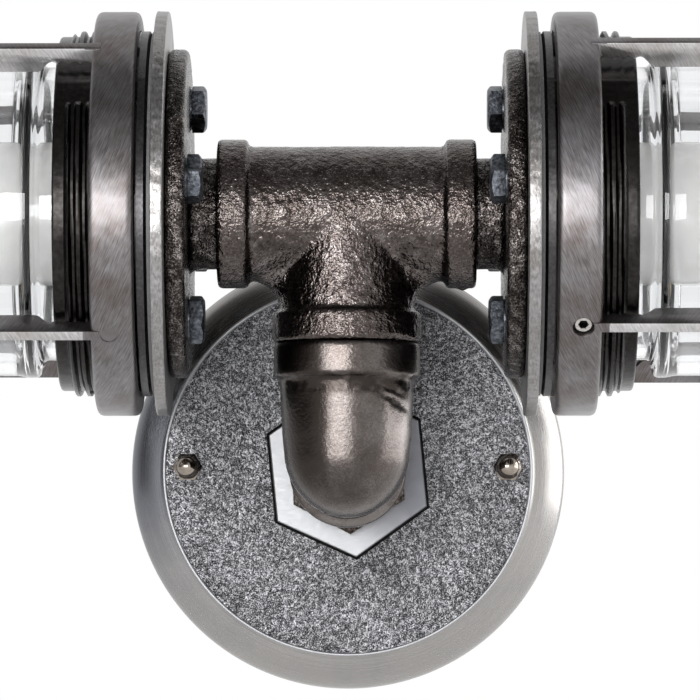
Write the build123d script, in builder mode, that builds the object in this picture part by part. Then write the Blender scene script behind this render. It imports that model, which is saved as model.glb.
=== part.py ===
"""Two-lamp wall light made from pipe fittings, with glass jars in cast guards. Millimetres.

The origin is the middle of the canopy's back, on the wall. +Z is up and the light stands out
along -Y. A lamp's own sketches use the distance from the tee's middle and the radius.
"""
from build123d import *
from math import cos, radians, sin, sqrt
import os

# Pipe fittings
wall_gap = 5.0
tee_reach = 33.3
tee_body_radius = 17.35
tee_band_radius = 19.2
tee_band_width = 8.0
tee_crotch_radius = 8.0
saddle_arc = 75.0
saddle_core = 0.5
band_edge = 1.0
elbow_drop = 31.6
elbow_reach = 31.0
elbow_heel_height = 3.0
elbow_heel_radius = 16.4
elbow_top_radius = 17.8
elbow_end_radius = 13.0
elbow_top_band_radius = 18.85
elbow_top_band_width = 9.2
elbow_end_band_radius = 15.35
elbow_end_band_width = 8.0
pipe_radius = 13.35
pipe_bore = 10.4
pipe_engagement = 13.0
small_pipe_radius = 10.65
small_pipe_bore = 7.9
small_pipe_engagement = 12.0
thread_gap = 0.1
socket_runout = 0.5

# Wall side
canopy_rim_width = 7.4
canopy_depth = 13.5
canopy_wall = 1.5
canopy_shoulder = 1.3
canopy_step = 0.5
canopy_skirt = 4.0
plate_margin = 6.6
plate_thickness = 2.2
plate_rim_width = 1.6
plate_rim_height = 0.5
boss_across_flats = 40.5
boss_height = 2.0
boss_draft = 12.0
boss_turn = 5.7
bushing_across_flats = 29.3
bushing_gap = 1.5
bushing_turn = 2.5
bushing_edge = 0.8
locknut_across_flats = 28.0
locknut_thickness = 3.6
nipple_overhang = 3.0
stud_spacing = 84.8
stud_rise = 1.0
stud_radius = 2.08
stud_hole_gap = 0.3
cap_nut_across_flats = 7.1
cap_nut_hex_height = 3.2
cap_nut_dome_radius = 2.75
cap_nut_neck = 1.2
crossbar_margin = 6.6
crossbar_width = 20.0
crossbar_thickness = 2.5
crossbar_eye_radius = 17.0
crossbar_eye_bore = 11.5
box_screw_spacing = 69.85
box_screw_hole_radius = 2.35
ground_screw_radius = 2.4
ground_screw_head_radius = 4.6
ground_screw_head_height = 2.6
ground_screw_place = 22.0

# Lamp flange and disc
hub_radius = 14.3
hub_length = 7.2
hub_fillet = 3.0
flange_radius = 42.35
flange_thickness = 5.1
flange_edge = 1.8
bolt_circle_radius = 28.5
bolt_radius = 3.175
bolt_hole_gap = 0.25
bolt_head_across_flats = 11.1
bolt_head_height = 4.2
bolt_head_edge = 0.6
bolt_turn = 13.5
bolts_per_lamp = 4
bolt_tip_gap = 1.0
disc_overhang = 0.15
disc_thickness = 3.1
disc_edge = 0.4

# Lamp body
body_gasket_inset = 0.15
body_gasket_thickness = 1.0
body_wall = 8.8
body_floor = 8.0
body_shoulder = 2.6
body_wire_hole = 10.0
thread_depth = 1.4
thread_pitch = 2.9
thread_turns = 6
thread_crest_share = 0.28
thread_root_share = 0.22
thread_break_start = 32.0
thread_break_arc = 26.0
thread_break_relief = 0.15
lip_length = 3.7
lip_edge = 0.8

# Glass jar
jar_wall = 3.0
jar_shoulder = 3.9
jar_fit = 0.4
jar_neck_length = 17.8
jar_flare = 1.6
jar_flare_ease = 0.6
jar_shoulder_shift = 2.0
jar_bead_rise = 0.5
jar_bead_length = 3.2
jar_bead_fall = 2.0
jar_body_radius = 41.7
jar_length = 120.3
jar_end_radius = 27.7
jar_gasket_thickness = 2.0
jar_gasket_width = 5.3
jar_gasket_fit = 0.3

# Guard
guard_wall = 4.75
guard_fit = 0.25
guard_setback = 2.1
guard_ring_width = 11.8
guard_ring_edge = 2.2
rib_depth = 7.0
rib_thickness = 2.8
rib_proud = 0.25
rib_root_reach = 2.0
rib_root_slope = 2.0
ribs_per_guard = 4
guard_end_gap = 16.0
guard_end_radius = 14.0
guard_end_rim = 3.0
set_screw_radius = 2.2
set_screw_length = 3.6
set_screw_gap = 0.15
set_screw_hole_gap = 0.4
set_screw_socket = 1.1
set_screw_place = 7.5
dimple_radius = 2.1
dimple_depth = 0.8

# Lampholder and bulb
holder_base_radius = 27.5
holder_base_thickness = 7.0
holder_radius = 18.5
holder_length = 34.3
holder_edge = 2.0
holder_floor = 8.3
holder_screws = 2
holder_screw_circle = 23.1
holder_screw_radius = 1.9
holder_screw_depth = 5.0
holder_screw_head_radius = 3.4
holder_screw_head_height = 2.2
holder_screw_turn = 58.5
shell_radius = 14.1
shell_wall = 0.5
shell_fit = 0.2
shell_length = 24.5
shell_lip_bore = 7.5
contact_radius = 5.5
contact_thickness = 1.0
contact_button_radius = 3.0
contact_button_height = 1.4
bulb_gap = 0.2
bulb_contact_radius = 4.4
bulb_contact_height = 1.4
bulb_insulator_height = 3.0
bulb_insulator_radius = 9.5
cap_fit = 0.5
cap_length = 23.0
cap_pitch = 3.63
cap_thread_depth = 0.9
cap_thread_turns = 4
cap_wall = 0.5
bulb_ball_radius = 23.5
bulb_neck_radius = 12.3
bulb_glass_length = 60.0
bulb_wall = 0.8
bulb_blend_angle = 120.0
stem_radius = 2.3
stem_flare_length = 9.0
stem_length = 30.0
lead_radius = 0.45
lead_foot = 1.3
lead_start = 2.5
lead_bend = 1.5
lead_spread = 9.0
lead_rise = 13.0
filament_bow = 6.0

SIDES = {"left": -1, "right": 1}
RIB_ANGLE = {"left": -40.4, "right": -37.7}
SET_SCREW_RIB = {"left": 3, "right": 0}

# Angles in degrees
full_turn = 360.0
half_turn = full_turn / 2
quarter_turn = full_turn / 4
hex_sides = 6
hex_turn = half_turn / hex_sides

# Places that follow from the sizes
jar_neck_radius = jar_body_radius - jar_shoulder
jar_bead_radius = jar_body_radius + jar_bead_rise
jar_bore_radius = jar_neck_radius + jar_fit
body_radius = jar_bore_radius + body_wall
body_gasket_radius = body_radius - body_gasket_inset
guard_bore_radius = body_radius + guard_fit
guard_radius = guard_bore_radius + guard_wall
disc_radius = guard_radius + disc_overhang
wall_projection = guard_radius + wall_gap
plate_radius = stud_spacing / 2 + plate_margin
canopy_flat_radius = plate_radius + canopy_shoulder
canopy_radius = canopy_flat_radius + canopy_rim_width
crossbar_length = stud_spacing + 2 * crossbar_margin
lamp_height = tee_reach + elbow_drop
canopy_front = -canopy_depth
plate_front = canopy_front - plate_thickness
boss_front = plate_front - boss_height
elbow_mouth = -wall_projection + elbow_reach
bushing_thickness = boss_front - elbow_mouth - bushing_gap
flange_start = tee_reach + hub_length
disc_start = flange_start + flange_thickness
gasket_start = disc_start + disc_thickness
body_start = gasket_start + body_gasket_thickness
floor_start = body_start + body_floor
thread_start = body_start + body_shoulder
thread_end = thread_start + thread_turns * thread_pitch
body_end = thread_end + lip_length
thread_root_radius = body_radius - thread_depth
jar_start = floor_start + jar_gasket_thickness
jar_end = jar_start + jar_length
guard_ring_start = body_start + guard_setback
guard_ring_end = guard_ring_start + guard_ring_width
guard_inner_end = jar_end + guard_end_gap
set_screw_top = body_radius + set_screw_gap + set_screw_length
holder_end = floor_start + holder_length
shell_start = floor_start + holder_floor
bulb_start = shell_start + contact_thickness + contact_button_height + bulb_gap
cap_start = bulb_start + bulb_contact_height + bulb_insulator_height
glass_start = cap_start + cap_length
cap_radius = shell_radius - shell_wall - cap_fit

os.makedirs("parts", exist_ok=True)


def save(piece, name):
    """Labels a finished piece and writes it under its own name."""
    piece.part.label = name
    export_step(piece.part, f"parts/{name}.step")


def circles(piece, radius):
    """Round edges of a piece that have a given radius."""
    rounds = piece.edges().filter_by(GeomType.CIRCLE)
    return rounds.filter_by(lambda edge: abs(edge.radius - radius) < thread_gap / 2)


def meridian(side, angle=quarter_turn):
    """Half plane through a lamp's axis: x runs outward along it, y is the radius.

    The angle is counted from straight ahead, upward."""
    outward = SIDES[side]
    radial = Vector(0, -cos(radians(angle)), sin(radians(angle)))
    along = Vector(outward, 0, 0)
    return Plane(origin=(0, -wall_projection, lamp_height), x_dir=along, z_dir=along.cross(radial))


def lamp_axis(side):
    """A lamp's own axis, pointing away from the tee."""
    return Axis((0, -wall_projection, lamp_height), (SIDES[side], 0, 0))


def cross_section(side, station, turn=0.0):
    """Plane square to a lamp's axis, with its x at an angle counted from ahead, upward."""
    ahead = Vector(0, -cos(radians(turn)), sin(radians(turn)))
    origin = (SIDES[side] * station, -wall_projection, lamp_height)
    return Plane(origin=origin, x_dir=ahead, z_dir=(SIDES[side], 0, 0))


def radial_plane(side, station, angle, radius):
    """Plane square to a lamp's radius at a station, an angle and a distance from the axis."""
    section = meridian(side, angle)
    return Plane(section.from_local_coords((station, radius, 0)), x_dir=section.x_dir, z_dir=section.y_dir)


def facing_front(y, turn=0.0):
    """Plane across the wall pipe, seen from the room, turned about the pipe."""
    return Plane(origin=(0, y, 0), x_dir=(cos(radians(turn)), 0, sin(radians(turn))), z_dir=(0, -1, 0))


def tee_across(across, station):
    """Plane square to the tee's run, about the tee's own middle, facing the mouth."""
    return Plane(origin=(across * station, 0, 0), z_dir=(across, 0, 0))


# Turning about this axis carries a lamp's front upward
tilt_axis = Axis((0, -wall_projection, lamp_height), (-1, 0, 0))

# Tee, made about its own middle: run across, branch down, a band at each mouth, rounded crotches
tee_middle = Plane(origin=(0, -wall_projection, lamp_height))
crotch_depth = tee_body_radius - thread_gap
crotch_far = (2 * crotch_depth + tee_crotch_radius) / sqrt(2)
crotch_near = crotch_far - tee_crotch_radius * (1 - 1 / sqrt(2))
crotch_half = tee_crotch_radius / sqrt(2)
saddle_radius = tee_body_radius / sqrt(2)
with BuildPart() as tee_form:
    with BuildSketch(Plane.YZ.offset(-tee_reach)):
        Circle(tee_body_radius)
    extrude(amount=2 * tee_reach)
    with BuildSketch(Plane.XY):
        Circle(tee_body_radius)
    extrude(amount=-tee_reach)
    for across in SIDES.values():
        diagonal = Plane((0, 0, 0), x_dir=(across, 0, -1), z_dir=(0, -1, 0))
        saddle_middle = crotch_far - saddle_radius
        with BuildSketch(diagonal, mode=Mode.PRIVATE) as saddle:
            with BuildLine():
                ThreePointArc((crotch_far, crotch_half), (crotch_near, 0), (crotch_far, -crotch_half))
                Polyline(
                    (crotch_far, -crotch_half),
                    (saddle_middle + saddle_core, -crotch_half),
                    (saddle_middle + saddle_core, crotch_half),
                    (crotch_far, crotch_half),
                )
            make_face()
        saddle_axis = Axis(diagonal.from_local_coords((saddle_middle, 0, 0)), diagonal.y_dir)
        for arc in (-saddle_arc, saddle_arc):
            revolve(saddle.sketch, axis=saddle_axis, revolution_arc=arc)
    for across in SIDES.values():
        with BuildSketch(tee_across(across, tee_reach)):
            Circle(tee_band_radius)
        extrude(amount=-tee_band_width)
    with BuildSketch(Plane.XY.offset(-tee_reach)):
        Circle(tee_band_radius)
    extrude(amount=tee_band_width)
    fillet(circles(tee_form, tee_band_radius), band_edge)
    for across in SIDES.values():
        with BuildSketch(tee_across(across, 0)):
            Circle(pipe_bore)
        extrude(amount=tee_reach, mode=Mode.SUBTRACT)
        with BuildSketch(tee_across(across, tee_reach)):
            Circle(pipe_radius + thread_gap)
        extrude(amount=-pipe_engagement - socket_runout, mode=Mode.SUBTRACT)
    with BuildSketch(Plane.XY):
        Circle(pipe_bore)
    extrude(amount=-tee_reach, mode=Mode.SUBTRACT)
    with BuildSketch(Plane.XY.offset(-tee_reach)):
        Circle(pipe_radius + thread_gap)
    extrude(amount=pipe_engagement + socket_runout, mode=Mode.SUBTRACT)
with BuildPart() as pipe_tee:
    with Locations(tee_middle.origin):
        add(tee_form.part)
save(pipe_tee, "pipe_tee")

# Short nipple that joins the tee's branch to the elbow
with BuildPart() as branch_nipple:
    with BuildSketch(tee_middle.offset(-tee_reach - pipe_engagement)):
        Circle(pipe_radius)
        Circle(pipe_bore, mode=Mode.SUBTRACT)
    extrude(amount=2 * pipe_engagement)
save(branch_nipple, "branch_nipple")

# Reducing elbow: down from the branch to a round heel, and back to the wall
elbow_middle = Plane(origin=(0, -wall_projection, 0))
heel_low = elbow_heel_height - elbow_heel_radius
with BuildPart() as reducing_elbow:
    with BuildSketch(facing_front(-wall_projection)):
        with BuildLine():
            CenterArc((0, elbow_heel_height), elbow_heel_radius, -quarter_turn, quarter_turn)
            Polyline(
                (elbow_heel_radius, elbow_heel_height),
                (elbow_top_radius, elbow_drop),
                (0, elbow_drop),
                (0, heel_low),
            )
        make_face()
    revolve(axis=Axis(elbow_middle.origin, (0, 0, 1)))
    with BuildSketch(facing_front(elbow_mouth)):
        Circle(elbow_end_radius)
    extrude(amount=elbow_reach)
    with BuildSketch(elbow_middle.offset(elbow_drop)):
        Circle(elbow_top_band_radius)
    extrude(amount=-elbow_top_band_width)
    with BuildSketch(facing_front(elbow_mouth)):
        Circle(elbow_end_band_radius)
    extrude(amount=elbow_end_band_width)
    fillet(circles(reducing_elbow, elbow_top_band_radius), band_edge)
    fillet(circles(reducing_elbow, elbow_end_band_radius), band_edge)
    with BuildSketch(elbow_middle.offset(elbow_drop)):
        Circle(pipe_bore)
    extrude(amount=-elbow_drop, mode=Mode.SUBTRACT)
    with BuildSketch(facing_front(elbow_mouth)):
        Circle(small_pipe_bore)
    extrude(amount=elbow_reach, mode=Mode.SUBTRACT)
    with BuildSketch(elbow_middle.offset(elbow_drop)):
        Circle(pipe_radius + thread_gap)
    extrude(amount=-pipe_engagement - socket_runout, mode=Mode.SUBTRACT)
    with BuildSketch(facing_front(elbow_mouth)):
        Circle(small_pipe_radius + thread_gap)
    extrude(amount=small_pipe_engagement + socket_runout, mode=Mode.SUBTRACT)
save(reducing_elbow, "reducing_elbow")

# Pipe from the elbow through the canopy
canopy_inside = canopy_front + canopy_wall
nipple_back = canopy_inside + locknut_thickness + nipple_overhang
nipple_front = elbow_mouth - small_pipe_engagement
with BuildPart() as wall_nipple:
    with BuildSketch(facing_front(nipple_back)):
        Circle(small_pipe_radius)
        Circle(small_pipe_bore, mode=Mode.SUBTRACT)
    extrude(amount=nipple_back - nipple_front)
save(wall_nipple, "wall_nipple")

# Hexagon between the elbow and the face plate
with BuildPart() as hex_bushing:
    with BuildSketch(facing_front(boss_front, bushing_turn)):
        RegularPolygon(bushing_across_flats / 2, hex_sides, major_radius=False, rotation=hex_turn)
        Circle(small_pipe_radius + thread_gap, mode=Mode.SUBTRACT)
    extrude(amount=bushing_thickness)
    chamfer(hex_bushing.faces().sort_by(Axis.Y)[0].outer_wire().edges(), bushing_edge)
save(hex_bushing, "hex_bushing")

# Locknut behind the canopy's front wall
with BuildPart() as back_locknut:
    with BuildSketch(facing_front(canopy_inside + locknut_thickness)):
        RegularPolygon(locknut_across_flats / 2, hex_sides, major_radius=False)
        Circle(small_pipe_radius + thread_gap, mode=Mode.SUBTRACT)
    extrude(amount=locknut_thickness)
save(back_locknut, "back_locknut")

# Cast face plate with a raised rim and a drafted hexagonal boss
stud_places = [(-stud_spacing / 2, stud_rise), (stud_spacing / 2, stud_rise)]
with BuildPart() as face_plate:
    with BuildSketch(facing_front(canopy_front)):
        Circle(plate_radius)
    extrude(amount=plate_thickness)
    with BuildSketch(facing_front(plate_front)):
        Circle(plate_radius)
        Circle(plate_radius - plate_rim_width, mode=Mode.SUBTRACT)
    extrude(amount=plate_rim_height)
    with BuildSketch(facing_front(plate_front, boss_turn)):
        RegularPolygon(boss_across_flats / 2, hex_sides, major_radius=False, rotation=hex_turn)
    extrude(amount=boss_height, taper=boss_draft)
    with BuildSketch(facing_front(canopy_front)):
        Circle(small_pipe_radius + thread_gap)
        with Locations(*stud_places):
            Circle(stud_radius + stud_hole_gap)
    extrude(amount=plate_thickness + boss_height, mode=Mode.SUBTRACT)
save(face_plate, "face_plate")

# Spun canopy, open to the wall
canopy_section = Plane(origin=(0, 0, 0), x_dir=(1, 0, 0), z_dir=(0, 0, -1))
rim_centre = (canopy_flat_radius, canopy_skirt)
rim_height = canopy_depth - canopy_step - canopy_skirt
rim_inside_width = canopy_rim_width - canopy_wall
rim_inside_height = canopy_depth - canopy_wall - canopy_skirt
canopy_hole = small_pipe_radius + stud_hole_gap
with BuildPart() as canopy:
    with BuildSketch(canopy_section):
        with BuildLine():
            Polyline(
                (canopy_flat_radius, canopy_depth - canopy_step),
                (canopy_flat_radius, canopy_depth),
                (canopy_hole, canopy_depth),
                (canopy_hole, canopy_depth - canopy_wall),
                (canopy_flat_radius, canopy_depth - canopy_wall),
            )
            EllipticalCenterArc(rim_centre, canopy_rim_width, rim_height, 0, arc_size=quarter_turn)
            Line((canopy_radius, canopy_skirt), (canopy_radius, 0))
            Line((canopy_radius, 0), (canopy_radius - canopy_wall, 0))
            Line((canopy_radius - canopy_wall, 0), (canopy_radius - canopy_wall, canopy_skirt))
            EllipticalCenterArc(rim_centre, rim_inside_width, rim_inside_height, 0, arc_size=quarter_turn)
        make_face()
    revolve(axis=Axis.Y)
    with BuildSketch(facing_front(canopy_inside)):
        with Locations(*stud_places):
            Circle(stud_radius + stud_hole_gap)
    extrude(amount=canopy_wall, mode=Mode.SUBTRACT)
save(canopy, "canopy")

# Crossbar that screws to the wall box
with BuildPart() as crossbar:
    with BuildSketch(facing_front(0)):
        Rectangle(crossbar_length, crossbar_width)
        Circle(crossbar_eye_radius)
        Circle(crossbar_eye_bore, mode=Mode.SUBTRACT)
        with Locations(*stud_places):
            Circle(stud_radius + thread_gap, mode=Mode.SUBTRACT)
        with GridLocations(box_screw_spacing, 0, 2, 1):
            Circle(box_screw_hole_radius, mode=Mode.SUBTRACT)
        with Locations((ground_screw_place, 0)):
            Circle(ground_screw_radius + thread_gap, mode=Mode.SUBTRACT)
    extrude(amount=crossbar_thickness)
save(crossbar, "crossbar")

with BuildPart() as ground_screw:
    with BuildSketch(facing_front(0)):
        with Locations((ground_screw_place, 0)):
            Circle(ground_screw_radius)
    extrude(amount=crossbar_thickness)
    with BuildSketch(facing_front(-crossbar_thickness)):
        with Locations((ground_screw_place, 0)):
            RegularPolygon(ground_screw_head_radius, hex_sides)
    extrude(amount=ground_screw_head_height)
save(ground_screw, "ground_screw")

# Studs in the crossbar and the two dome nuts on them
with BuildPart() as canopy_studs:
    with BuildSketch(facing_front(0)):
        with Locations(*stud_places):
            Circle(stud_radius)
    extrude(amount=cap_nut_hex_height - plate_front)
save(canopy_studs, "canopy_studs")

nut_neck_front = plate_front - cap_nut_hex_height - cap_nut_neck
with BuildPart() as cap_nuts:
    with BuildSketch(facing_front(plate_front)):
        with Locations(*stud_places):
            RegularPolygon(cap_nut_across_flats / 2, hex_sides, major_radius=False)
    extrude(amount=cap_nut_hex_height)
    with BuildSketch(facing_front(plate_front)):
        with Locations(*stud_places):
            Circle(cap_nut_dome_radius)
    extrude(amount=cap_nut_hex_height + cap_nut_neck)
    with Locations(*[(x, nut_neck_front, z) for x, z in stud_places]):
        Sphere(cap_nut_dome_radius)
    with BuildSketch(facing_front(plate_front)):
        with Locations(*stud_places):
            Circle(stud_radius + thread_gap)
    extrude(amount=cap_nut_hex_height + thread_gap, mode=Mode.SUBTRACT)
save(cap_nuts, "cap_nuts")


def make_pipe_flange(side):
    """Male flange: a shank in the tee, a hub and a bolted plate."""
    with BuildPart() as pipe_flange:
        with BuildSketch(meridian(side)):
            with BuildLine():
                Polyline(
                    (tee_reach - pipe_engagement, pipe_bore),
                    (tee_reach - pipe_engagement, pipe_radius),
                    (tee_reach, pipe_radius),
                    (tee_reach, hub_radius),
                    (flange_start, hub_radius),
                    (flange_start, flange_radius),
                    (disc_start, flange_radius),
                    (disc_start, pipe_bore),
                    close=True,
                )
            make_face()
        revolve(axis=lamp_axis(side))
        rims = circles(pipe_flange, flange_radius)
        hub_foot = circles(pipe_flange, hub_radius)
        fillet(rims, flange_edge)
        fillet(hub_foot.sort_by(lamp_axis(side))[-1], hub_fillet)
        with BuildSketch(cross_section(side, flange_start, bolt_turn)):
            with PolarLocations(bolt_circle_radius, bolts_per_lamp):
                Circle(bolt_radius + bolt_hole_gap)
        extrude(amount=flange_thickness, mode=Mode.SUBTRACT)
    return pipe_flange


def make_flange_bolts(side):
    """Hex bolts through flange, disc and gasket into the lamp body."""
    with BuildPart() as flange_bolts:
        with BuildSketch(cross_section(side, flange_start, bolt_turn)):
            with PolarLocations(bolt_circle_radius, bolts_per_lamp):
                RegularPolygon(bolt_head_across_flats / 2, hex_sides, major_radius=False)
        extrude(amount=-bolt_head_height)
        tops = flange_bolts.faces().sort_by(lamp_axis(side))[:bolts_per_lamp]
        chamfer(tops.edges(), bolt_head_edge)
        with BuildSketch(cross_section(side, flange_start, bolt_turn)):
            with PolarLocations(bolt_circle_radius, bolts_per_lamp):
                Circle(bolt_radius)
        extrude(amount=floor_start - bolt_tip_gap - flange_start)
    return flange_bolts


def make_mounting_disc(side):
    """Thick steel disc between flange and lamp body."""
    with BuildPart() as mounting_disc:
        with BuildSketch(cross_section(side, disc_start, bolt_turn)):
            Circle(disc_radius)
            Circle(pipe_bore, mode=Mode.SUBTRACT)
            with PolarLocations(bolt_circle_radius, bolts_per_lamp):
                Circle(bolt_radius + bolt_hole_gap, mode=Mode.SUBTRACT)
        extrude(amount=disc_thickness)
        rims = circles(mounting_disc, disc_radius)
        chamfer(rims, disc_edge)
    return mounting_disc


def make_body_gasket(side):
    """Flat gasket under the lamp body."""
    with BuildPart() as body_gasket:
        with BuildSketch(cross_section(side, gasket_start, bolt_turn)):
            Circle(body_gasket_radius)
            Circle(body_wire_hole, mode=Mode.SUBTRACT)
            with PolarLocations(bolt_circle_radius, bolts_per_lamp):
                Circle(bolt_radius + bolt_hole_gap, mode=Mode.SUBTRACT)
        extrude(amount=body_gasket_thickness)
    return body_gasket


def thread_outline(start, crest, depth, pitch, turns):
    """Points of a row of ridges, from a crest at the start to a crest at the end."""
    flank = pitch * (1 - thread_crest_share - thread_root_share) / 2
    root = pitch * thread_root_share
    points = []
    for turn in range(turns):
        base = start + turn * pitch
        points += [(base + flank, crest - depth), (base + flank + root, crest - depth)]
        points += [(base + 2 * flank + root, crest), (base + pitch, crest)]
    return points


def make_lamp_body(side):
    """Cast body: floor, jar bore, and an outside thread broken at the casting's two seams."""
    lip_start = thread_end + thread_depth / 2
    break_radius = thread_root_radius - thread_break_relief
    with BuildPart() as lamp_body:
        with BuildSketch(meridian(side)):
            with BuildLine():
                Polyline(
                    (body_start, body_wire_hole),
                    (body_start, body_radius),
                    (thread_start, body_radius),
                    *thread_outline(thread_start, body_radius, thread_depth, thread_pitch, thread_turns),
                    (lip_start, thread_root_radius),
                    (body_end, thread_root_radius),
                    (body_end, jar_bore_radius),
                    (floor_start, jar_bore_radius),
                    (floor_start, body_wire_hole),
                    close=True,
                )
            make_face()
        revolve(axis=lamp_axis(side))
        mouth = lamp_body.faces().sort_by(lamp_axis(side))[-1]
        fillet(mouth.outer_wire().edges(), lip_edge)
        for seam in (0, half_turn):
            with BuildSketch(meridian(side, thread_break_start + seam)):
                with BuildLine():
                    Polyline(
                        (thread_start, break_radius),
                        (lip_start, break_radius),
                        (lip_start, body_radius + thread_depth),
                        (thread_start, body_radius + thread_depth),
                        close=True,
                    )
                make_face()
            revolve(axis=tilt_axis, revolution_arc=thread_break_arc, mode=Mode.SUBTRACT)
        with BuildSketch(cross_section(side, body_start, bolt_turn)):
            with PolarLocations(bolt_circle_radius, bolts_per_lamp):
                Circle(bolt_radius + thread_gap)
        extrude(amount=body_floor, mode=Mode.SUBTRACT)
        with BuildSketch(cross_section(side, floor_start, holder_screw_turn)):
            with PolarLocations(holder_screw_circle, holder_screws):
                Circle(holder_screw_radius + thread_gap)
        extrude(amount=-holder_screw_depth - socket_runout, mode=Mode.SUBTRACT)
    return lamp_body


def make_jar_gasket(side):
    """Rubber ring between the body's floor and the jar's neck."""
    outer = jar_bore_radius - jar_gasket_fit
    with BuildPart() as jar_gasket:
        with BuildSketch(cross_section(side, floor_start)):
            Circle(outer)
            Circle(outer - jar_gasket_width, mode=Mode.SUBTRACT)
        extrude(amount=jar_gasket_thickness)
    return jar_gasket


def make_glass_jar(side):
    """Clear jar: straight neck, shoulder bead, long body and a rounded end."""
    neck_end = jar_start + jar_neck_length
    bead_start = neck_end + jar_flare
    bead_end = bead_start + jar_bead_length
    body_from = bead_end + jar_bead_fall
    end_from = jar_end - jar_end_radius
    crown = jar_body_radius - jar_end_radius
    inner_neck = jar_neck_radius - jar_wall
    inner_body = jar_body_radius - jar_wall
    inner_flare = neck_end + jar_shoulder_shift
    ease = jar_flare * jar_flare_ease
    with BuildPart() as glass_jar:
        with BuildSketch(meridian(side)):
            with BuildLine():
                Line((jar_start, inner_neck), (jar_start, jar_neck_radius))
                Line((jar_start, jar_neck_radius), (neck_end, jar_neck_radius))
                Bezier(
                    (neck_end, jar_neck_radius),
                    (neck_end + ease, jar_neck_radius),
                    (bead_start - ease, jar_bead_radius),
                    (bead_start, jar_bead_radius),
                )
                Line((bead_start, jar_bead_radius), (bead_end, jar_bead_radius))
                Line((bead_end, jar_bead_radius), (body_from, jar_body_radius))
                Line((body_from, jar_body_radius), (end_from, jar_body_radius))
                CenterArc((end_from, crown), jar_end_radius, 0, quarter_turn)
                Line((jar_end, crown), (jar_end, 0))
                Line((jar_end, 0), (jar_end - jar_wall, 0))
                Line((jar_end - jar_wall, 0), (jar_end - jar_wall, crown))
                CenterArc((end_from, crown), jar_end_radius - jar_wall, 0, quarter_turn)
                Line((end_from, inner_body), (inner_flare + jar_flare, inner_body))
                Bezier(
                    (inner_flare + jar_flare, inner_body),
                    (inner_flare + jar_flare - ease, inner_body),
                    (inner_flare + ease, inner_neck),
                    (inner_flare, inner_neck),
                )
                Line((inner_flare, inner_neck), (jar_start, inner_neck))
            make_face()
        revolve(axis=lamp_axis(side))
    return glass_jar


def make_guard(side):
    """Cast guard: ring over the body's thread, four ribs on edge and an end disc."""
    rib_outer = guard_radius + rib_proud
    rib_inner = guard_radius - rib_depth
    rib_end = guard_inner_end + rib_depth
    bend_from = guard_inner_end - (rib_inner - guard_end_radius)
    root_end = body_end + rib_root_reach
    with BuildPart() as guard:
        with BuildSketch(meridian(side)):
            with BuildLine():
                Polyline(
                    (guard_ring_start, guard_bore_radius),
                    (guard_ring_start, guard_radius),
                    (guard_ring_end, guard_radius),
                    (guard_ring_end, guard_bore_radius),
                    close=True,
                )
            make_face()
        revolve(axis=lamp_axis(side))
        outside = circles(guard, guard_radius)
        fillet(outside, guard_ring_edge)
        for rib in range(ribs_per_guard):
            with BuildSketch(meridian(side, RIB_ANGLE[side] + rib * full_turn / ribs_per_guard)):
                with BuildLine():
                    Polyline(
                        (bend_from, rib_inner),
                        (root_end + rib_root_slope, rib_inner),
                        (root_end, guard_bore_radius),
                        (guard_ring_start + guard_ring_edge, guard_bore_radius),
                        (guard_ring_start + guard_ring_edge, rib_outer),
                        (bend_from, rib_outer),
                    )
                    CenterArc((bend_from, guard_end_radius), rib_outer - guard_end_radius, 0, quarter_turn)
                    Polyline(
                        (bend_from + rib_outer - guard_end_radius, guard_end_radius),
                        (bend_from + rib_outer - guard_end_radius, 0),
                        (guard_inner_end, 0),
                        (guard_inner_end, guard_end_radius),
                    )
                    CenterArc((bend_from, guard_end_radius), rib_inner - guard_end_radius, 0, quarter_turn)
                make_face()
            extrude(amount=rib_thickness / 2, both=True)
        with BuildSketch(cross_section(side, guard_inner_end)):
            Circle(guard_end_radius + guard_end_rim)
        extrude(amount=rib_depth)
        screw_rib = RIB_ANGLE[side] + SET_SCREW_RIB[side] * full_turn / ribs_per_guard
        screw_at = guard_ring_start + set_screw_place
        with BuildSketch(radial_plane(side, screw_at, screw_rib, 0)):
            Circle(set_screw_radius + thread_gap)
        extrude(amount=rib_outer, mode=Mode.SUBTRACT)
        with BuildSketch(radial_plane(side, screw_at, screw_rib, set_screw_top)):
            Circle(set_screw_radius + set_screw_hole_gap)
        extrude(amount=rib_outer - set_screw_top, mode=Mode.SUBTRACT)
        if screw_rib != RIB_ANGLE[side]:
            with BuildSketch(radial_plane(side, screw_at, RIB_ANGLE[side], rib_outer - dimple_depth)):
                Circle(dimple_radius)
            extrude(amount=dimple_depth, mode=Mode.SUBTRACT)
    return guard


def make_set_screw(side):
    """Socket set screw that locks the guard on the thread."""
    angle = RIB_ANGLE[side] + SET_SCREW_RIB[side] * full_turn / ribs_per_guard
    station = guard_ring_start + set_screw_place
    with BuildPart() as set_screw:
        with BuildSketch(radial_plane(side, station, angle, set_screw_top)):
            Circle(set_screw_radius)
        extrude(amount=-set_screw_length)
        with BuildSketch(radial_plane(side, station, angle, set_screw_top)):
            RegularPolygon(set_screw_socket, hex_sides, major_radius=False)
        extrude(amount=-set_screw_length / 2, mode=Mode.SUBTRACT)
    return set_screw


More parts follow.
